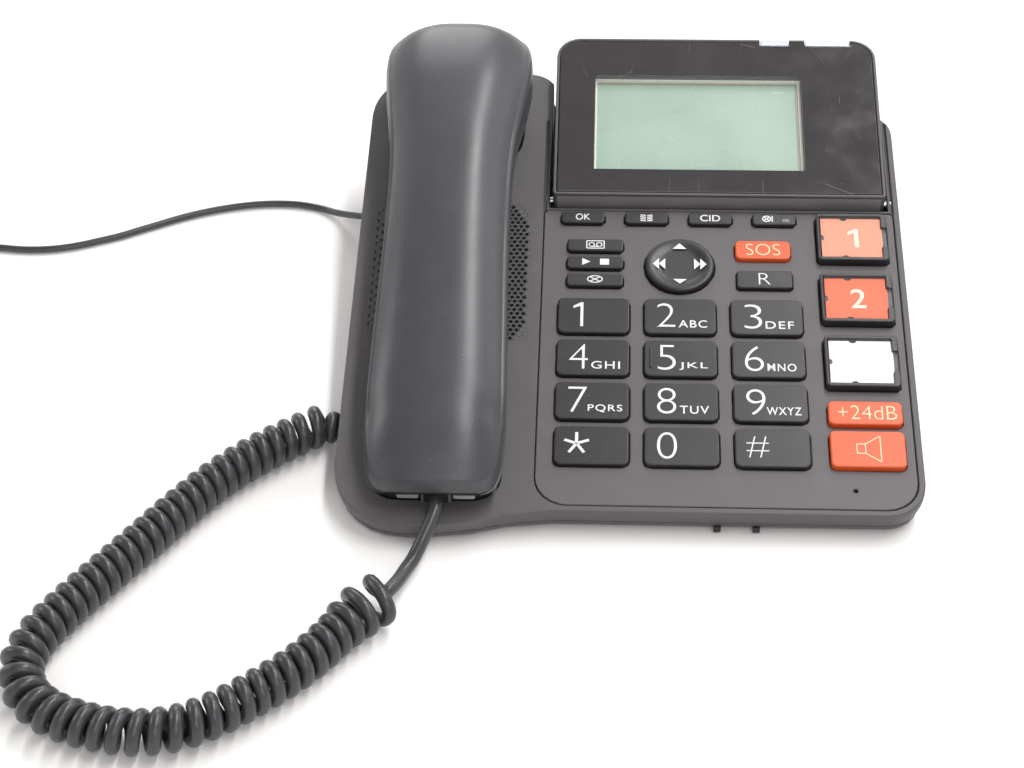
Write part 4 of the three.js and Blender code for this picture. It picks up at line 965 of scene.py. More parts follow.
@dataclass
class Studio:
    """Camera, lamps and the pale floor."""

    eye: Vector = Vector((-0.008893, -0.593718, 0.508911))
    aim: Vector = Vector((-0.040825, -0.028161, 0.0))
    roll: float = -1.2988
    lens: float = 75.586
    floor: Colour = (250, 248, 246)
    floor_fade: Pair = (0.5, 1.6)
    sky_colour: tuple[float, ...] = (1.0, 0.99, 0.98, 1)
    sky_fade: tuple[float, ...] = (0.35, 0.85, 0.74, 0.22)
    hung: tuple[tuple[str, Triple, float, float, float], ...] = (
        ("window_lamp", (1.05, 0.62, 1.08), 1.2, 1.2, 6), ("strip_lamp", (0.7, 0.5, 2.3), 0.22, 2.7, 47),
        ("front_lamp", (0.25, -1.1, 1.1), 0.9, 0.9, 6), ("back_lamp", (-0.25, 1.5, 0.75), 0.8, 0.8, 7),
        ("left_lamp", (-1.3, 0.3, 0.7), 0.5, 0.5, 3),
    )

    def build(self) -> None:
        """Makes the camera, the lamps, the world and the floor."""
        self.camera()
        self.lamps()
        self.ground()
        LOG.info("studio: camera at %.0f mm from the phone", (self.aim - self.eye).length / MM)

    def camera(self) -> None:
        """Places the camera."""
        data = bpy.data.cameras.new("camera")
        data.lens, data.sensor_width = self.lens, 36
        data.clip_start, data.clip_end = 0.01, 20
        camera = bpy.data.objects.new("camera", data)
        bpy.context.scene.collection.objects.link(camera)
        turn = (self.aim - self.eye).to_track_quat("-Z", "Y").to_matrix().to_4x4()
        camera.matrix_world = Matrix.Translation(self.eye) @ turn @ Matrix.Rotation(math.radians(self.roll), 4, "Z")
        bpy.context.scene.camera = camera

    def lamp(self, name: str, place: Vector, width: float, depth: float, power: float) -> None:
        """Adds a soft lamp that faces the phone.

        Args:
            name: the lamp's name.
            place: where it hangs.
            width: its side from left to right.
            depth: its side from front to back.
            power: its power in watts.
        """
        data = bpy.data.lights.new(name, "AREA")
        data.shape, data.size, data.size_y, data.energy = "RECTANGLE", width, depth, power
        lamp = bpy.data.objects.new(name, data)
        bpy.context.scene.collection.objects.link(lamp)
        away = place.normalized()
        across = Vector((0, 1, 0)).cross(away).normalized()
        turn = Matrix((across, away.cross(across), away)).transposed().to_4x4()
        lamp.matrix_world = Matrix.Translation(place) @ turn

    def lamps(self) -> None:
        """Lights the phone from a window on the right and a strip above, and softly from all sides."""
        for name, place, width, depth, power in self.hung:
            self.lamp(name, Vector(place), width, depth, power)
        world = bpy.data.worlds.new("world")
        bpy.context.scene.world = world
        world.use_nodes = True
        nodes, links = world.node_tree.nodes, world.node_tree.links
        sky = nodes["Background"]
        direction = nodes.new("ShaderNodeTexCoord").outputs["Generated"]
        parts = nodes.new("ShaderNodeSeparateXYZ")
        fade = nodes.new("ShaderNodeMapRange")
        for socket, value in zip(("From Min", "From Max", "To Min", "To Max"), self.sky_fade):
            fade.inputs[socket].default_value = value
        links.new(direction, parts.inputs[0])
        links.new(parts.outputs["Z"], fade.inputs["Value"])
        seen = nodes.new("ShaderNodeMix")
        seen.inputs["B"].default_value = 1.0
        links.new(nodes.new("ShaderNodeLightPath").outputs["Is Camera Ray"], seen.inputs["Factor"])
        links.new(fade.outputs[0], seen.inputs["A"])
        links.new(seen.outputs["Result"], sky.inputs["Strength"])
        sky.inputs["Color"].default_value = self.sky_colour
        bpy.context.scene.view_settings.view_transform = "Standard"

    def ground(self) -> None:
        """Lays the floor, which fades into a pale backdrop far away."""
        bm = bmesh.new()
        bmesh.ops.create_grid(bm, x_segments=1, y_segments=1, size=4)
        mesh = bpy.data.meshes.new("floor")
        bm.to_mesh(mesh)
        bm.free()
        floor = bpy.data.objects.new("floor", mesh)
        bpy.context.scene.collection.objects.link(floor)
        s = Surface("floor_white")
        grain = s.noise(60 * MM, 2.0)
        reach = s.add("ShaderNodeVectorMath", {0: s.place}, operation="LENGTH").outputs["Value"]
        seen = s.add("ShaderNodeLightPath").outputs["Is Camera Ray"]
        s.dress(Base_Color=s.mix(grain, linear(self.floor, 0.99), linear(self.floor, 1.01)), Roughness=0.6,
                Specular_IOR_Level=0.2, Emission_Color=(1.0, 1.0, 1.0, 1.0),
                Emission_Strength=s.product(seen, s.band(reach, *self.floor_fade)))
        mesh.materials.append(s.material)
        floor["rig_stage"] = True


@dataclass
class CurlyCord:
    """The handset's curly cord, from its plug in the base round the front and into the handset."""

    wire: float = 4.6 * MM
    outer: float = 14.6 * MM
    pitch: float = 5 * MM
    loose_pitch: float = 8 * MM
    loose_run: float = 26 * MM
    bend_window: float = 9 * MM
    plain_share: float = 0.4
    widening: float = 0.5
    steps: int = 36
    march: float = 0.25 * MM
    rise: float = 0.5
    slack: float = 0.06
    curls: tuple[Triple, ...] = (
        (-128.7, -15.3, 7.7), (-141.2, -25.0, 7.7), (-153.3, -37.3, 7.7), (-164.4, -52.2, 7.7),
        (-174.9, -68.3, 7.7), (-185.2, -83.6, 7.7), (-194.9, -98.7, 7.7), (-201.1, -110.7, 7.7),
        (-202.8, -121.5, 7.7), (-199.4, -131.1, 7.7), (-192.2, -138.0, 7.7), (-182.3, -142.5, 7.7),
        (-171.9, -145.0, 7.7), (-161.6, -145.6, 7.7), (-151.2, -143.5, 7.7), (-141.7, -138.7, 7.7),
        (-132.7, -132.0, 7.7), (-124.2, -124.8, 7.7), (-116.3, -116.9, 7.7), (-109.3, -107.7, 7.7),
        (-103.0, -98.3, 7.7), (-97.7, -92.0, 7.7), (-93.2, -87.1, 7.6),
    )
    lead: tuple[Triple, ...] = (
        (-90.4, -81.7, 6.9), (-88.7, -77.1, 6.4), (-86.5, -72.6, 6.9), (-83.8, -66.9, 9.6),
    )

    def ends(self) -> tuple[Vector, Vector, Vector]:
        """Finds where the cord leaves the base and enters the handset.

        Returns:
            The start, the end, and the direction into the handset.
        """
        near, far = span("handset_plug", SLOPE)
        end = SLOPE @ Vector(((near.x + far.x) / 2, near.y - PLUG_GAP, (near.z + far.z) / 2))
        return mouth("base_plug"), end, SLOPE.to_3x3() @ Vector((0, 1, 0))

    def winding(self) -> list[Vector]:
        """Winds the wire round its route.

        Returns:
            Points along the wire.
        """
        start, end, inward = self.ends()
        curls, lead = on_table(*self.curls), on_table(*self.lead)
        leaving = start - Vector((self.wire, 0, 0))
        axis = Route([start, leaving, *curls, *lead, end - inward * self.wire / 2, end])
        curled = Route([start, leaving, *curls]).length
        radius, plain = (self.outer - self.wire) / 2, self.wire * self.plain_share
        made, turns, progress, along = [], 0.0, 1.0, 0.0
        while along < axis.length:
            wound = plain < along < curled
            loose = smooth(curled - self.loose_run, curled, along)
            before, after = axis.heading(along - self.bend_window), axis.heading(along + self.bend_window)
            bend = before.angle(after) / (self.bend_window * 2)
            pitch = (self.pitch + (self.loose_pitch - self.pitch) * loose) / (1 - radius * bend)
            if progress >= 1:
                progress -= 1
                grown = radius * smooth(plain, plain + self.pitch * 0.8, along)
                grown *= 1 - smooth(curled - self.loose_pitch / 2, curled, along)
                direction = axis.heading(along)
                side = Vector((direction.y, -direction.x, 0)).normalized()
                up = side.cross(direction)
                angle = turns * math.tau
                opening = smooth(curled - self.loose_run, curled - self.loose_run / 3, along)
                wide = grown * (1 + self.widening * opening)
                made.append(axis.at(along) + side * wide * math.cos(angle) + up * grown * math.sin(angle))
            turns += self.march / pitch if wound else 0.0
            progress += (self.steps / pitch if wound else 1 / (self.wire / 3)) * self.march
            along += self.march
        return [*made[:-1], axis.at(axis.length)]

    def build(self) -> None:
        """Makes the cord."""
        points = self.winding()
        piece = shown("curly_cord", tube("curly_cord", points, self.wire / 2, 4), JACKET, None, ["handset_cord"])
        start, end, _ = self.ends()
        tuple(start)
        round(run_of(points), 3)
        [tuple(point) for point in points]
        loose, = on_table(self.lead[0])
        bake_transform(piece)
        LOG.info("curly cord: %.0f mm of wire", run_of(points) / MM)


@dataclass
class LineCord:
    """The line cord, from its plug in the base to the left, and its spare length in a tied coil."""

    wire: float = 2.6 * MM
    outer_turn: float = 21 * MM
    layers: int = 4
    layer_turns: float = 3.5
    pitch: float = 3.45 * MM
    layer_rise: float = 3.1 * MM
    clearance: float = 0.3 * MM
    tail: float = 34 * MM
    tail_rise: float = 7 * MM
    middle: Triple = (-289.7, 113.8, 0)
    tie_turn: float = 0.62
    turn_back: float = 0.25
    table_points: int = 90
    steps: int = 28
    way: tuple[Triple, ...] = (
        (-121.0, 106.3, 7.6), (-125.2, 110.1, 5.2), (-130.2, 114.2, 2.9), (-137.4, 118.8, 1.6),
        (-145.6, 120.9, 1.6), (-153.4, 121.4, 1.6), (-161.2, 120.9, 1.6), (-168.9, 119.5, 1.6),
        (-176.4, 117.4, 1.6), (-183.9, 114.7, 1.6), (-191.2, 111.4, 1.6), (-198.4, 107.5, 1.6),
        (-205.6, 103.6, 1.6), (-212.7, 99.7, 1.6), (-219.8, 96.7, 1.6), (-227.1, 93.8, 1.6), (-234.3, 91.8, 1.6),
        (-241.8, 90.8, 1.6), (-249.6, 90.8, 1.6), (-258.4, 91.8, 1.6), (-269.8, 92.7, 1.6),
    )

    def coil_point(self, turn: float) -> Vector:
        """Finds a point of the coil, which spirals in and out and climbs where it turns back.

        Args:
            turn: how many turns have been wound.

        Returns:
            The point.
        """
        wound = min(max(turn, 0.0), self.layers * self.layer_turns)
        layer = min(int(wound / self.layer_turns), self.layers - 1)
        into = wound - layer * self.layer_turns
        inward = self.layer_turns - into if layer % 2 else into
        radius = self.outer_turn - inward * self.pitch
        level = sum(smooth(k * self.layer_turns - self.turn_back, k * self.layer_turns + self.turn_back, wound)
                    for k in range(1, self.layers))
        angle = -math.pi / 2 - wound * math.tau
        height = self.wire / 2 + self.clearance + level * self.layer_rise
        centre, = on_table(self.middle)
        return Vector((centre.x + radius * math.cos(angle), centre.y + radius * math.sin(angle), height))

    def run(self) -> list[Vector]:
        """Lays the cord from its plug through the coil to the far plug.

        Returns:
            Points along the cord.
        """
        start, first, wire = mouth("line_plug_near"), self.coil_point(0), Vector((self.wire, 0, 0))
        route = Route([start, start - wire, *on_table(*self.way), first + wire])
        points = [route.at(route.length * step / self.table_points) for step in range(self.table_points)]
        total = int(self.layers * self.layer_turns * self.steps)
        points += [first + wire, *(self.coil_point(step / self.steps) for step in range(total + 1))]
        last = points[-1]
        near, far = span("line_plug_far")
        height = (near.z + far.z) / 2
        spacing = 3 * MM
        runs = [spacing * step for step in range(1, int(self.tail / spacing) + 1)]
        points += [Vector((last.x - x, last.y, last.z + (height - last.z) * smooth(self.tail_rise, self.tail, x)))
                   for x in runs]
        return [*points, Vector((far.x + self.clearance, last.y, height))]

    def tie(self) -> Thing:
        """Makes the wire tie round one side of the coil.

        Returns:
            The piece.
        """
        centre, = on_table(self.middle)
        angle = -math.pi / 2 - self.tie_turn * math.tau
        low = self.outer_turn - self.layer_turns * self.pitch - self.wire
        width = self.outer_turn + self.wire - low
        height = self.layer_rise * (self.layers - 1) + self.wire * 1.6
        bm = thicken(flat_plate(width, height, 2.2 * MM), -2 * MM, 2 * MM)
        bmesh.ops.delete(bm, geom=[face for face in bm.faces if abs(face.normal.z) > 0.5], context="FACES_ONLY")
        bmesh.ops.solidify(bm, geom=bm.faces[:], thickness=0.5 * MM)
        out = Matrix.Rotation(angle, 4, "Z") @ Matrix.Rotation(math.pi / 2, 4, "X")
        place = move(centre.x, centre.y, height / 2 + 0.15 * MM) @ out
        return built("coil_tie", bm, RUBBER, "base", place @ move(low + width / 2, 0))

    def build(self) -> None:
        """Makes the cord, its tie and its far plug."""
        points = self.run()
        piece = shown("telephone_line", tube("telephone_line", points, self.wire / 2), JACKET, "base",
                      ["line_cord", "line_coil"])
        tie = self.tie()
        far = Plug("line_plug_far", Matrix.Rotation(math.pi, 4, "Z")).build()
        tuple(points[0])
        round(run_of(points), 3)
        [tuple(point) for point in points]
        LOG.info("line cord: %.0f mm", run_of(points) / MM)


@dataclass
class Plug:
    """A clear modular plug with its latch and gilt contacts, built pointing along x."""

    node: str
    turn: Matrix
    contacts: int = 4

    def build(self) -> Thing:
        """Makes the plug over its CAD node.

        Returns:
            The plug's body.
        """
        piece = refined(self.node, PLUG_CLEAR, 0.25 * MM)
        low, high = span(self.node, self.turn)
        pitch = (high.y - low.y) / (self.contacts + 3)
        middle = (low + high) / 2
        for index in range(self.contacts):
            bm = pad(3.2 * MM, pitch * 0.4, 0, low.z + 0.02 * MM, low.z + 1.2 * MM, 0.1 * MM)
            y = middle.y + (index - (self.contacts - 1) / 2) * pitch
            place = self.turn @ move(high.x - 2.2 * MM, y)
            built(f"{self.node}_contact_{index}", bm, GOLD, body_of(self.node), place)
        return piece


@dataclass
class BaseCase:
    """The base's covers, key panel, battery door, grille, feet and front tabs."""

    hole: float = 0.78 * MM
    hole_pitch: float = 2.15 * MM
    grille_x: float = -80.4 * MM
    grille_y: float = 49 * MM
    grille_width: float = 55 * MM
    grille_depth: float = 65 * MM
    recess: float = 0.8 * MM
    tab_y: float = -99.2 * MM

    def build(self) -> None:
        """Makes every piece of the base."""
        for node, finish, edge in (
            ("base_top_cover", CASE, 0.35), ("base_bottom_cover", CASE, 0.3), ("battery_door", CASE, 0.3),
            ("key_panel", PANEL, 0.3),
        ):
            refined(node, finish, edge * MM)
        self.grille()
        self.feet()
        self.tabs()
        LOG.info("base: covers, grille, feet and door")

    def places(self) -> Iterator[tuple[float, float]]:
        """Lists the grille's cells, row by row.

        Yields:
            The middle of each cell.
        """
        row_step = self.hole_pitch * math.sin(math.pi / 3)
        rows = int(self.grille_depth / row_step) + 2
        columns = int(self.grille_width / self.hole_pitch) + 2
        for row in range(rows):
            shift = 0.5 if row % 2 else 0.0
            for column in range(columns):
                yield ((column + shift - columns / 2) * self.hole_pitch, (row - (rows - 1) / 2) * row_step)

    def grille(self) -> None:
        """Lays a perforated skin over the loudspeaker, and dark cloth under it."""
        bm = bmesh.new()
        side = self.hole_pitch / math.sqrt(3)
        for x, y in self.places():
            reach = max(abs(x) - self.grille_width / 2, abs(y) - self.grille_depth / 2)
            corner = (abs(x) - self.grille_width / 2) * 0.9 + (abs(y) - self.grille_depth / 2) * 0.5
            if reach > self.hole_pitch / 2:
                continue
            place = move(x, y) @ Matrix.Rotation(math.pi / 6, 4, "Z")
            pierced = reach < -0.6 * self.hole_pitch and corner < -5.5 * MM
            outer = bmesh.ops.create_circle(bm, segments=6, radius=side, cap_ends=not pierced, matrix=place)["verts"]
            if pierced:
                inner = bmesh.ops.create_circle(bm, segments=12, radius=self.hole, matrix=place)["verts"]
                edges = {edge for vertex in (*outer, *inner) for edge in vertex.link_edges}
                bmesh.ops.bridge_loops(bm, edges=list(edges))
        bmesh.ops.remove_doubles(bm, verts=bm.verts, dist=0.01 * MM)
        thicken(bm, -self.recess + 0.3 * MM, 0.03 * MM)
        place = SLOPE @ move(self.grille_x, self.grille_y)
        built("grille_skin", bm, CASE, "base", place, crease=30)
        cloth = pad(self.grille_width - 1 * MM, self.grille_depth - 1 * MM, 5 * MM, 0.02 * MM - self.recess,
                    0.2 * MM - self.recess, 0.05 * MM)
        built("grille_cloth", cloth, CLOTH_AND_HOLE_SHADE, "base", place)

    def feet(self) -> None:
        """Makes the rubber feet, with a worn rounded rim."""
        for node in ("foot_front_left", "foot_front_right", "foot_rear_left", "foot_rear_right"):
            low, high = span(node)
            radius, top = (high.x - low.x) / 2, high.z
            rim = 0.5 * MM
            profile = [(0, top), (radius, top), (radius, rim), (radius - rim * 0.3, rim * 0.3), (radius - rim, 0),
                       (radius * 0.4, 0), (radius * 0.35, 0.25 * MM), (0, 0.25 * MM)]
            place = move((low.x + high.x) / 2, (low.y + high.y) / 2)
            built(f"{node}_piece", turned(profile), RUBBER, "base", place, [node])

    def tabs(self) -> None:
        """Makes the two small tabs that show under the front edge."""
        for name, x in (("left", 29.4), ("right", 42.2)):
            bm = pad(*mm(2.4, 2, 0.4, 0.9, 3, 0.2))
            built(f"front_tab_{name}", bm, DARK, "base", move(x * MM, self.tab_y))


@dataclass
class Keys:
    """The dial keys, the small keys and the orange keys, with their legends."""

    flange: float = 0.6 * MM
    edge: float = 0.55 * MM
    dial_corner: float = 2.2 * MM
    small_corner: float = 1.2 * MM
    orange_corner: float = 2 * MM
    pen: float = 0.42
    digit: Pair = (-4.9, 0.1)
    digit_size: Pair = (6.4, 10.8)
    letters_at: Pair = (4.4, -3.6)

    def key(self, node: str, finish: Finish, corner: float) -> Matrix:
        """Makes one key over its CAD node.

        Args:
            node: the node.
            finish: what the key is made of.
            corner: radius of its corners.

        Returns:
            The frame in the middle of its top.
        """
        low, high = span(node, SLOPE)
        size = high - low - Vector((self.flange * 2, self.flange * 2, 0))
        middle = (low + high) / 2
        bm = pad(size.x, size.y, corner, low.z - high.z, 0, self.edge)
        place = SLOPE @ move(middle.x, middle.y, high.z)
        built(f"{node}_top", bm, finish, body_of(node), place, [node], crease=50)
        return place

    def dial(self) -> None:
        """Makes the twelve dial keys with their digits and letters."""
        letters = {"2": "ABC", "3": "DEF", "4": "GHI", "5": "JKL", "6": "MNO", "7": "PQRS", "8": "TUV", "9": "WXYZ"}
        sizes = {"0": (6.6, 10.8), "hash": (7.4, 8.6)}
        for name in (*"1234567890", "star", "hash"):
            node = f"dial_key_{name}"
            place = self.key(node, KEYTOP, self.dial_corner)
            ink = Stencil()
            if name == "star":
                self.star(ink)
            elif name == "1":
                ink.figure((-4.6, -5.3), (-3.6, -5.3), (-3.6, 5.5), (-4.5, 5.5), (-7.1, 3.9), (-7.1, 2.9), (-4.6, 3.9))
            else:
                ink.words("#" if name == "hash" else name, *self.digit, *sizes.get(name, self.digit_size))
            if name in letters:
                wide = 11.6 if len(letters[name]) > 3 else 9.8
                ink.words(letters[name], *self.letters_at, wide, 3.3, 0.004, 1.15)
            ink.legend(node, place)
            if name == "5":
                ridge = pad(*mm(0.9, 9, 0.4, -0.2, 0.35, 0.2))
                built("dial_key_5_ridge", ridge, KEYTOP, node, place @ move(-10.2 * MM, 0))

    def star(self, ink: Stencil) -> None:
        """Draws a star of five arms in the digit's place.

        Args:
            ink: the drawing.
        """
        middle_x, middle_y = self.digit[0], 0.4
        for arm in range(5):
            angle = math.tau * (arm / 5 + 0.25)
            tip = (middle_x + 4.3 * math.cos(angle), middle_y + 4.6 * math.sin(angle))
            ink.line((middle_x, middle_y), tip, 1.0)

    def small(self) -> None:
        """Makes the small keys round the navigation disc, with their words and signs."""
        pages = Stencil()
        for row in range(4):
            y = 1.2 - row * 0.85
            for side in (-1, 1):
                pages.line((side * 0.25, y - 0.3), (side * 2.2, y), 0.45)
        wipe = Stencil().oval(-2.6, 0, 2.9, 2.6, self.pen)
        wipe.line((-3.5, -0.8), (-1.7, 0.8), self.pen).line((-3.5, 0.8), (-1.7, -0.8), self.pen)
        wipe.line((-0.6, -1.4), (-0.6, 1.4), self.pen).words("DEL", 4.4, -0.7, 2.4, 1.3)
        reels = Stencil().outline([(-3.1, -1.75), (3.1, -1.75), (3.1, 1.75), (-3.1, 1.75)], self.pen)
        reels.oval(-1.35, 0, 1.9, 1.9, self.pen).oval(1.35, 0, 1.9, 1.9, self.pen)
        reels.line((-1.35, -0.95), (1.35, -0.95), self.pen)
        arrow = Stencil().figure((-4.6, -1.6), (-1.7, 0), (-4.6, 1.6))
        arrow.figure((1.7, -1.4), (4.9, -1.4), (4.9, 1.4), (1.7, 1.4))
        crossed = Stencil().oval(0, 0, 5.2, 3.1, self.pen).line((-1.6, -0.95), (1.6, 0.95), self.pen)
        crossed.line((-1.6, 0.95), (1.6, -0.95), self.pen)
        for node, ink in (
            ("function_key_ok", Stencil().words("OK", 0, 0, 5.2, 3, 0.006)),
            ("function_key_phonebook", pages),
            ("function_key_caller_id", Stencil().words("CID", 0, 0, 7.2, 3.1, 0.006)),
            ("function_key_erase", wipe),
            ("message_key_tape", reels),
            ("message_key_play", arrow),
            ("message_key_off", crossed),
            ("flash_key", Stencil().words("R", 0, 0, 4.2, 5.3)),
        ):
            ink.legend(node, self.key(node, KEYTOP, self.small_corner))

    def orange(self) -> None:
        """Makes the three orange keys."""
        horn = [(-3.7, -1.9), (-0.9, -1.9), (4.1, -5.3), (4.1, 5.3), (-0.9, 1.9), (-3.7, 1.9)]
        for node, ink in (
            ("sos_key", Stencil().words("SOS", 0, 0, 12.2, 5.2)),
            ("boost_key", Stencil().words("+24dB", 0.6, 0, 19.6, 5.8)),
            ("speaker_key", Stencil().outline(horn, 0.3).line((-0.9, -1.9), (-0.9, 1.9), 0.3)),
        ):
            ink.legend(node, self.key(node, ORANGE, self.orange_corner), CREAM)

    def build(self) -> None:
        """Makes every key."""
        self.dial()
        self.small()
        self.orange()
        LOG.info("keys: dial, small and orange ones with legends")


@dataclass
class PhotoKeys:
    """The three picture keys: black trays, paper cards and clear covers."""

    recess: float = 1.3 * MM
    notch: float = 1.3 * MM
    paper: Pair = (0.02 * MM, 0.28 * MM)
    print_rise: float = 0.3 * MM

    def notched(self, width: float, depth: float, low: float, high: float, notch: float) -> BMesh:
        """Makes a card with half-round notches in its front, rear and left edges.

        Args:
            width: its size along x.
            depth: its size along y.
            low: its underside.
            high: its top.
            notch: radius of a notch.

        Returns:
            The mesh.
        """
        angles = [math.pi * step / 6 for step in range(7)]
        w, d, shift = width / 2, depth / 2, width * 0.12
        front = [(-shift - notch * math.cos(a), -d + notch * 0.8 * math.sin(a)) for a in angles]
        rear = [(-shift + notch * math.cos(a), d - notch * 0.8 * math.sin(a)) for a in angles]
        left = [(-w + notch * 0.8 * math.sin(a), notch * math.cos(a)) for a in angles]
        bm = bmesh.new()
        bm.faces.new([bm.verts.new((x, y, 0)) for x, y in ((-w, -d), *front, (w, -d), (w, d), *rear, (-w, d), *left)])
        return thicken(bm, low, high)

    def build(self) -> None:
        """Makes the three keys."""
        one = ((0.9, -4.3), (2.3, -4.3), (2.3, 4.3), (1.2, 4.3), (-1.4, 2.8), (-1.4, 1.5), (0.9, 2.5))
        for number, card, ink in (
            (1, CARD_SALMON, Stencil().figure(*one)), (2, CARD_RED, Stencil().words("2", 0.6, 0, 5.2, 8.6, 0.006)),
            (3, CARD_WHITE, None),
        ):
            tray, cover = f"photo_key_{number}", f"photo_cover_{number}"
            refined(tray, FRAME, 0.35 * MM)
            low, high = span(tray, SLOPE)
            near, far = span(cover, SLOPE)
            place = SLOPE @ move((near.x + far.x) / 2 - 0.5 * MM, (low.y + high.y) / 2, high.z)
            width, depth = far.x - near.x - 1.3 * MM, far.y - near.y - 0.2 * MM
            under, over = (rise - self.recess for rise in self.paper)
            built(f"photo_card_{number}", self.notched(width, depth, under, over, self.notch), card, tray, place)
            if ink:
                ink.printed(f"photo_figure_{number}", place, self.print_rise - self.recess, CARD_CREAM, tray)
            refined(cover, COVER_CLEAR, 0.15 * MM)
        LOG.info("photo keys: 3")


@dataclass
class Navigator:
    """The round navigation disc with its four signs."""

    dish: float = 0.6 * MM
    rim: float = 0.9 * MM
    floor: float = 1.1 * MM

    def build(self) -> None:
        """Makes the disc over its CAD node."""
        low, high = span("nav_disc", SLOPE)
        radius, under = (high.x - low.x) / 2, low.z - high.z
        place = SLOPE @ move((low.x + high.x) / 2, (low.y + high.y) / 2, high.z)
        profile = [(0, under + self.floor), (radius, under + self.floor), (radius, -self.rim)]
        profile += [(radius - self.rim + self.rim * math.cos(a), -self.rim + self.rim * math.sin(a))
                    for a in (math.pi / 8 * step for step in range(1, 5))]
        profile += [(radius * share, -self.dish * (1 - smooth(0.55, 0.86, share))) for share in
                    (0.86, 0.8, 0.74, 0.68, 0.62, 0.55, 0.3)]
        profile += [(0, -self.dish)]
        built("nav_disc_piece", turned(profile, 72), KEYTOP, "nav_disc", place, ["nav_disc"], crease=40)
        ink = Stencil().figure((-2.4, 7.1), (2.4, 7.1), (0, 9.7)).figure((-2.4, -7.1), (0, -9.18), (2.4, -7.1))
        for side in (-1, 1):
            for start in (5.1, 7.3):
                ink.figure((side * start, -2.5), (side * (start + 2.2), 0), (side * start, 2.5))
        ink.legend("nav_disc", place)
        LOG.info("navigation disc: four signs")


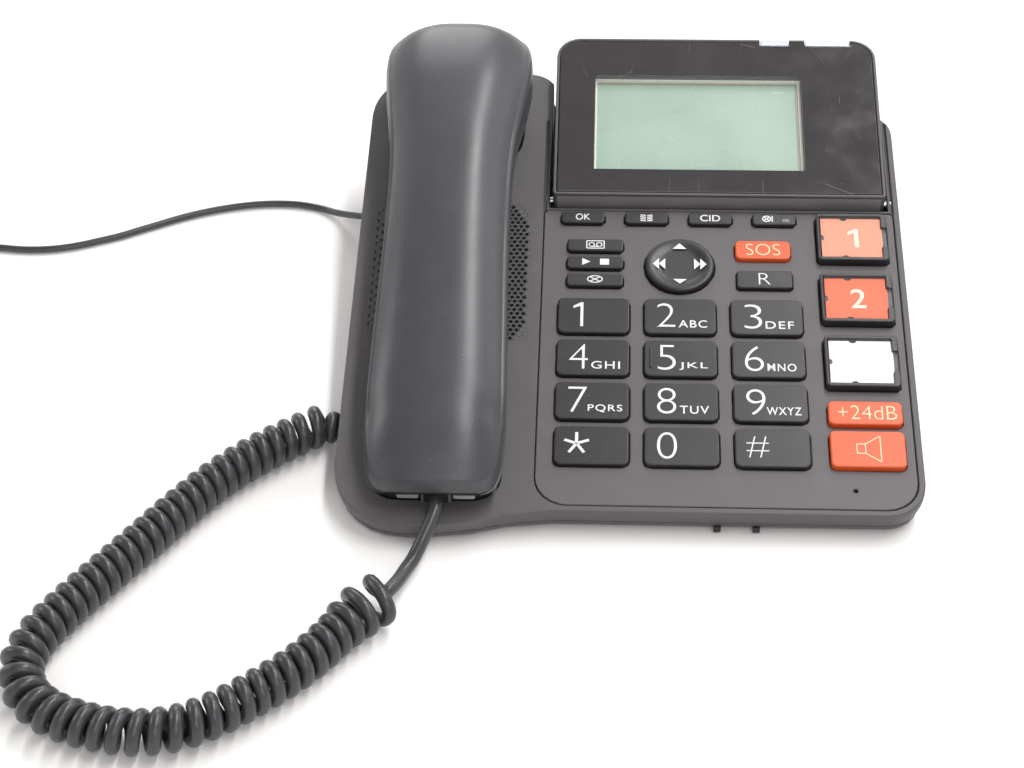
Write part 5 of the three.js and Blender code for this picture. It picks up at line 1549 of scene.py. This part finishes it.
@dataclass
class Display:
    """The tilting display: covers, a sill of painted light, glossy bezel, glass and light guide, in the frame of its
    hinge pin.
    """

    lens: float = 1.2 * MM
    window_x: float = -6.9 * MM
    window_width: float = 77 * MM
    window_bottom: float = 8.6 * MM
    window_height: float = 46 * MM
    sill_width: float = 117 * MM
    sill_profile: tuple[Pair, ...] = ((-3.25, 6.9), (-3.36, 6.9), (-3.36, -2.0), (-3.25, -2.0))
    pane_gap: float = 0.1 * MM

    def place(self) -> Matrix:
        """Finds the module's frame from its hinge pin.

        Returns:
            The frame, which leans with the display.
        """
        low, high = span("display_rear_cover")
        pin_low, pin_high = span("display_hinge_pin")
        lean = Matrix.Rotation(PANEL_TILT + DISPLAY_LEAN, 4, "X")
        middle = ((low.x + high.x) / 2, (pin_low.y + pin_high.y) / 2, (pin_low.z + pin_high.z) / 2)
        return Matrix.Translation(middle) @ lean

    def bezel(self, place: Matrix) -> None:
        """Makes the glossy front with its window.

        Args:
            place: the module's frame.
        """
        low, high = span("display_lens", place)
        bm = copied("display_lens")
        bmesh.ops.transform(bm, matrix=place.inverted(), verts=bm.verts)
        left, right = self.window_x - self.window_width / 2, self.window_x + self.window_width / 2
        bottom, top = self.window_bottom, self.window_bottom + self.window_height
        for axis, value in ((0, left), (0, right), (1, bottom), (1, top)):
            point, normal = Vector((0, 0, 0)), Vector((0, 0, 0))
            point[axis], normal[axis] = value, 1
            bmesh.ops.bisect_plane(bm, geom=bm.verts[:] + bm.edges[:] + bm.faces[:], plane_co=point, plane_no=normal)
        inside = [face for face in bm.faces if left < face.calc_center_median().x < right
                  and bottom < face.calc_center_median().y < top and abs(face.normal.z) > 0.5]
        bmesh.ops.delete(bm, geom=inside, context="FACES")
        bmesh.ops.dissolve_limit(bm, angle_limit=SAME_PLANE, verts=bm.verts, edges=bm.edges)
        bmesh.ops.connect_verts_concave(bm, faces=bm.faces)
        piece = built("display_bezel", bm, BEZEL, "display", place, ["display_lens"], flat=False)
        rounded(piece, 0.25 * MM, 32)
        rim = [(left, bottom), (right, bottom), (right, top), (left, top)]
        walls = bmesh.new()
        for (x, y), (next_x, next_y) in zip(rim, [*rim[1:], rim[0]]):
            walls.faces.new([walls.verts.new(corner) for corner in (
                (x, y, high.z), (next_x, next_y, high.z), (next_x, next_y, low.z), (x, y, low.z))])
        built("window_walls", walls, BEZEL, "display", place, outward=False)
        pane = pad(self.window_width - self.pane_gap, self.window_height - self.pane_gap, 0, high.z - self.lens,
                   high.z - self.pane_gap / 2, self.pane_gap)
        middle = move(self.window_x, self.window_bottom + self.window_height / 2)
        built("display_pane", pane, PANE_CLEAR, "display", place @ middle)

    def glass(self, place: Matrix) -> None:
        """Makes the display glass, with painted highlights and painted shade along the edges of its window.

        Args:
            place: the module's frame.
        """
        refined("lcd_module", GLASS, 0.2 * MM)
        _, high = span("lcd_module", place)
        width, height = self.window_width, self.window_height
        centre_x, centre_y = self.window_x, self.window_bottom + height / 2
        # The pale strips are painted highlights and the dark strips are painted shade along the window's edges.
        strips = (
            ("top_painted_highlight", 0, height / 2 - 0.25 * MM, width, 0.5 * MM, 1.6 * MM, PAINTED_EDGE_HIGHLIGHT),
            ("top_painted_shade", 0, height / 2 - 1.1 * MM, width - 1 * MM, 0.9 * MM, 0.1 * MM, PAINTED_EDGE_SHADE),
            ("right_painted_highlight", width / 2 - 0.6 * MM, 0, 1.2 * MM, height, 1.0 * MM, PAINTED_EDGE_HIGHLIGHT),
            ("right_painted_shade", width / 2 - 1.8 * MM, 0, 0.8 * MM, height, 0.1 * MM, PAINTED_EDGE_SHADE),
            ("left_painted_highlight", -width / 2 + 0.4 * MM, 0, 0.8 * MM, height, 0.6 * MM, PAINTED_EDGE_HIGHLIGHT),
            ("bottom_painted_highlight", 0, -height / 2 + 0.4 * MM, width, 0.8 * MM, 0.4 * MM, PAINTED_EDGE_HIGHLIGHT),
        )
        for name, x, y, wide, deep, tall, finish in strips:
            bm = pad(wide, deep, 0, high.z, high.z + tall, min(tall, deep) * 0.3)
            built(f"window_{name}", bm, finish, "display", place @ move(centre_x + x, centre_y + y))

    def sill(self, place: Matrix) -> None:
        """Makes the grey sill along the module's foot: a thin pale sheet on the front of its shaded chin that paints
        light there.

        Args:
            place: the module's frame.
        """
        bm = bmesh.new()
        # The sheet is painted light, lighter than the panel, over the chin that would be in shade.
        bm.faces.new([bm.verts.new((-self.sill_width / 2, y * MM, z * MM)) for y, z in self.sill_profile])
        extrude(bm, (self.sill_width, 0, 0))
        built("display_sill_painted_light", bm, SILL_PAINTED_LIGHT, "display", place)

    def build(self) -> None:
        """Makes every piece of the display."""
        place = self.place()
        self.sill(place)
        refined("display_front_cover", CASE, 0.3 * MM)
        refined("display_rear_cover", CASE, 0.35 * MM)
        refined("light_guide", MILKY, 0.25 * MM)
        self.bezel(place)
        self.glass(place)
        LOG.info("display: bezel, pane, glass and light guides")


@dataclass
class Handset:
    """The handset: an arched outer shell with a crisp edge, and the inner shell with its two caps."""

    length: float = 203.4 * MM
    front: float = -54 * MM
    half: float = 27.2 * MM
    height: float = 36 * MM
    seam: float = 0.64
    seam_gap: float = 0.3 * MM
    edge_fall: float = 7.6 * MM
    nose_relief: float = 2.5 * MM
    crease_reach: float = 0.925
    arch_power: float = 3.0
    waist: float = 0.4
    columns: int = 180
    seam_rise: float = 34 * MM
    seam_start: float = 0.03
    nose_length: float = 45 * MM
    nose_height: float = 14.4
    nose_start: float = -52.7
    nose_slope: float = 0.44
    nose_blend: float = 1.2 * MM
    spine_ends: Pair = (24 * MM, 26 * MM)
    outer_steps: tuple[float, ...] = (0, 0.14, 0.28, 0.4, 0.52, 0.62, 0.7, 0.77, 0.83, 0.88, 0.92, 0.95, 0.975, 1)
    wall_steps: tuple[Pair, ...] = ((0.936, 0.07), (0.956, 0.32), (0.974, 0.7), (0.983, 1.0), (0.93, 1.0))
    under_steps: int = 12
    stations: tuple[tuple[float, float, float, float], ...] = (
        (0, 0.4, 0.228, 0.4), (0.004, 0.59, 0.195, 0.436), (0.015, 0.73, 0.178, 0.48),
        (0.036, 0.808, 0.172, 0.534), (0.07, 0.845, 0.17, 0.592), (0.145, 0.855, 0.18, 0.686),
        (0.243, 0.84, 0.25, 0.785), (0.466, 0.802, 0.32, 0.934), (0.59, 0.8, 0.32, 0.98),
        (0.689, 0.832, 0.29, 1), (0.763, 0.9, 0.18, 1), (0.838, 0.97, 0.07, 0.985), (0.9, 1, 0.045, 0.945),
        (0.948, 0.975, 0.055, 0.89), (0.977, 0.885, 0.1, 0.83), (0.993, 0.72, 0.18, 0.75), (1, 0.46, 0.28, 0.62),
    )

    def __post_init__(self) -> None:
        """Works out the outline and the place of the handset."""
        low, high = span("handset_outer_shell", SLOPE)
        self.frame = SLOPE @ move((low.x + high.x) / 2, 0)
        halves = [Vector((s[1] * self.half, self.front + s[0] * self.length, 0)) for s in self.stations]
        route = Route([Vector((0, self.front, 0)), *halves, Vector((0, self.front + self.length, 0))])
        count = self.columns // 2
        right = [route.at(route.length * step / count) for step in range(count + 1)]
        left = [Vector((-point.x, point.y, 0)) for point in reversed(right[1:-1])]
        self.outline = [*right, *left]

    def profile(self, y: float, column: int) -> float:
        """Reads the stations' curve at a place along the handset.

        Args:
            y: the place.
            column: 1 for the half width, 2 for the underside and 3 for the crown.

        Returns:
            The column's share there, times the height.
        """
        share = min(max((y - self.front) / self.length, 0.0), 1.0)
        marks = [station[0] for station in self.stations]
        values = [station[column] for station in self.stations]
        index = min(max(sum(mark <= share for mark in marks) - 1, 0), len(marks) - 2)
        slopes = []
        for knot in (index, index + 1):
            before, after = max(knot - 1, 0), min(knot + 1, len(marks) - 1)
            slopes.append((values[after] - values[before]) / (marks[after] - marks[before]))
        width = marks[index + 1] - marks[index]
        knots = (values[index], slopes[0] * width, values[index + 1], slopes[1] * width)
        return self.height * hermite((share - marks[index]) / width, *knots)

    def seam_share(self, y: float) -> float:
        """Reads where the seam lies between the underside and the crown."""
        return self.seam - (self.seam - self.seam_start) * (1 - smooth(0.0, self.seam_rise, y - self.front))

    def crown_at(self, y: float) -> float:
        """Reads the crown, which is lowered to a flat nose at the front.

        Args:
            y: the place along the handset.

        Returns:
            The crown's height.
        """
        crown = self.profile(y, 3)
        nose = (self.nose_height + (y / MM - self.nose_start) * self.nose_slope) * MM
        return (crown + nose - math.sqrt((crown - nose) ** 2 + self.nose_blend**2)) / 2

    def point(self, column: int, reach: float, level: Level) -> Vector:
        """Finds a point of the handset's skin.

        Args:
            column: which point of the outline it belongs to.
            reach: how far it lies from the spine towards the outline.
            level: gives its height, as a share from underside to crown, for a spot in plan.

        Returns:
            The point, in the handset's frame.
        """
        edge = self.outline[column % len(self.outline)]
        first, last = self.front + self.spine_ends[0], self.front + self.length - self.spine_ends[1]
        spine = Vector((0, min(max(edge.y, first), last), 0))
        spot = spine.lerp(edge, reach)
        under, crown = self.profile(spot.y, 2), self.crown_at(spot.y)
        return Vector((spot.x, spot.y, under + (crown - under) * level(spot)))

    def crease_level(self, spot: Vector, share: float = 1.0) -> float:
        """Reads the arched top at a spot in plan, as a share from underside to crown.

        Args:
            spot: the spot.
            share: how far it lies from the spine towards the crisp edge.

        Returns:
            The level.
        """
        half = max(self.profile(spot.y, 1) / self.height, 0.8) * self.half * self.crease_reach
        tall = self.crown_at(spot.y) - self.profile(spot.y, 2)
        nose = 1 - smooth(0.0, self.nose_length, spot.y - self.front)
        drop = min((self.edge_fall - self.nose_relief * nose) / tall, 0.94 - self.seam_share(spot.y))
        return 1 - drop * min(abs(spot.x) / half, 1.0) ** self.arch_power - 0.03 * share**8

    def outer_rows(self) -> list[tuple[float, Level]]:
        """Lists the rows of the outer shell from its spine to its inner lip.

        Returns:
            The reach and the level of each row.
        """
        rows: list[tuple[float, Level]] = []
        for step in self.outer_steps:
            rows.append((step * self.crease_reach, lambda spot, step=step: self.crease_level(spot, step)))
        for reach, drop in self.wall_steps:
            def wall(spot: Vector, drop: float = drop) -> float:
                """Reads a row of the wall between the crisp edge and the seam."""
                crease = self.crease_level(spot)
                return crease + (self.seam_share(spot.y) + 0.004 - crease) * drop
            rows.append((reach, wall))
        return rows

    def outer_shell(self) -> None:
        """Makes the outer shell."""
        rows = self.outer_rows()
        bm = sheet_over(self.columns, len(rows) - 1, lambda column, row: self.point(column, *rows[row]))
        piece = built("handset_outer_piece", bm, SHELL, "handset", self.frame, ["handset_outer_shell"], crease=22,
                      flat=False)
        bevel = piece.modifiers.new("rounded", "BEVEL")
        bevel.width, bevel.segments, bevel.limit_method = 0.25 * MM, 2, "ANGLE"
        bevel.angle_limit, bevel.harden_normals, bevel.use_clamp_overlap = math.radians(22), True, True

    def inner_shell(self) -> None:
        """Makes the inner shell, down to the middle of its underside."""
        lip = self.seam_gap / self.height / 0.6

        def upper(share: float) -> Level:
            """Makes a row between the lip and the waist."""
            def level(spot: Vector) -> float:
                """Reads the row's level."""
                top = self.seam_share(spot.y) - lip
                return top - max(top - self.waist, 0.02) * share
            return level

        def lower(drop: float) -> Level:
            """Makes a row between the waist and the middle of the underside."""
            return lambda spot: min(self.waist, self.seam_share(spot.y) - lip - 0.02) * (1 - drop)

        rows = [(0.93, upper(0)), (0.988, upper(0)), (0.995, upper(0.35)), (1.0, upper(1))]
        for step in range(1, self.under_steps + 1):
            angle = math.pi / 2 * step / self.under_steps
            reach = math.cos(angle) ** (2 / 3) if step < self.under_steps else 0.0
            rows.append((reach, lower(math.sin(angle) ** (2 / 3))))
        bm = sheet_over(self.columns, len(rows) - 1, lambda column, row: self.point(column, *rows[row]))
        built("handset_inner_piece", bm, SHELL, "handset", self.frame, ["handset_inner_shell"], crease=32, flat=False)

    def caps(self) -> None:
        """Makes the mouth cap and the ear cap on the underside, with their holes drawn as near-black discs of painted
        shade.
        """
        for name, node, width, front, rear, corner, bottom, holes in (
            ("mouth", "microphone_capsule", 39.6, -48.6, -10.6, 7.5, -3.9, ((0, 0),)),
            ("ear", "earpiece_capsule", 43.6, 98.2, 141.8, 18, -8.2,
             ((0, 0), *((6 * math.cos(math.tau * k / 6), 6 * math.sin(math.tau * k / 6)) for k in range(6)))),
        ):
            bm = thicken(flat_plate(width * MM, (rear - front) * MM, corner * MM, 10), bottom * MM, 12 * MM)
            low_face = min(bm.faces, key=lambda face: face.calc_center_median().z)
            bmesh.ops.bevel(bm, geom=low_face.edges[:], offset=1.6 * MM, segments=5, profile=0.5, affect="EDGES",
                            material=-1)
            place = self.frame @ move(0, (front + rear) / 2 * MM)
            built(f"{name}_cap", bm, SHELL, "handset", place, crease=40)
            near, far = span(node, self.frame)
            # Each hole is a flush near-black disc with no opening: painted shade.
            for index, (x, y) in enumerate(holes):
                lip, floor = bottom * MM - 0.03 * MM, bottom * MM + 0.3 * MM
                dot = turned([(0, lip), (1.2 * MM, lip), (1.2 * MM, floor), (0, floor)], 20)
                spot = move(x * MM, (near.y + far.y) / 2 + y * MM)
                built(f"{name}_hole_{index}", dot, CLOTH_AND_HOLE_SHADE, "handset", self.frame @ spot)

    def jack(self) -> None:
        """Makes the socket block at the front end, with its ribs and the pale bars beside it, which are painted
        highlights.
        """
        near, far = span("handset_plug", self.frame)
        middle_x, middle_z = (near.x + far.x) / 2, (near.z + far.z) / 2
        front = self.frame @ move(middle_x, near.y, middle_z)
        block = pad(*mm(11, 4.6, 0.8, -4.2, 3.4, 0.4))
        built("handset_socket", block, DARK, "handset", front @ move(0, 5.2 * MM))
        for side, word in ((-1, "left"), (1, "right")):
            for name, sizes, finish, x, y in (
                ("socket_rib", (0.9, 2.4, 0.3, -1.5, 3.2, 0.3), CASE, 4.4, 2.4),
                # The pale bars are painted highlights under the handset's front end.
                ("front_slit_highlight", (7.2, 1.6, 0.7, 1.1, 2.6, 0.3), SLIT_PAINTED_HIGHLIGHT, 9.2, 1.9),
            ):
                spot = front @ Matrix.Translation(mm(side * x, y, 0))
                built(f"{name}_{word}", pad(*mm(*sizes)), finish, "handset", spot)
        boot = turned([mm(x, z) for x, z in ((0, 0), (2.25, 0), (2.25, 6.3), (0, 6.3))], 24)
        built("handset_boot", boot, JACKET, "handset", front @ Matrix.Rotation(-math.pi / 2, 4, "X"))

    def build(self) -> None:
        """Makes every piece of the handset."""
        self.outer_shell()
        self.inner_shell()
        self.caps()
        self.jack()
        Plug("handset_plug", self.frame @ Matrix.Rotation(math.pi / 2, 4, "Z")).build()
        LOG.info("handset: shells, caps and socket")


class InnerParts:
    """Pieces that hardly show: they keep their CAD shape and get their finish."""

    finishes = {
        "main_board": BOARD, "keypad_mat": SILICONE, "nav_pivot": SILICONE, "base_loudspeaker": STEEL,
        "display_hinge_pin": STEEL, "earpiece_capsule": STEEL, "microphone_capsule": STEEL, "hook_plunger": DARK,
    }

    def build(self) -> None:
        """Gives each of them its material."""
        for node, finish in self.finishes.items():
            mesh = frame["nodes"][node].data
            mesh.materials.clear()
            mesh.materials.append(finish.material())
        LOG.info("inner parts: %d", len(self.finishes))


def corners(box: tuple[Vector, Vector]) -> list[list[float]]:
    """Writes a box as plain lists of numbers."""
    return [list(corner) for corner in box]


def main() -> None:
    """Builds the phone and its studio."""
    logging.basicConfig(level=logging.INFO, format="%(name)s: %(message)s")
    Studio().build()
    CurlyCord().build()
    LineCord().build()
    for node in ("base_plug", "line_plug_near"):
        Plug(node, STILL).build()
    BaseCase().build()
    Keys().build()
    PhotoKeys().build()
    Navigator().build()
    Display().build()
    Handset().build()
    InnerParts().build()
    {"cad": corners(CAD_BOX), "visual": corners(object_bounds())}


if __name__ == "__main__":
    main()
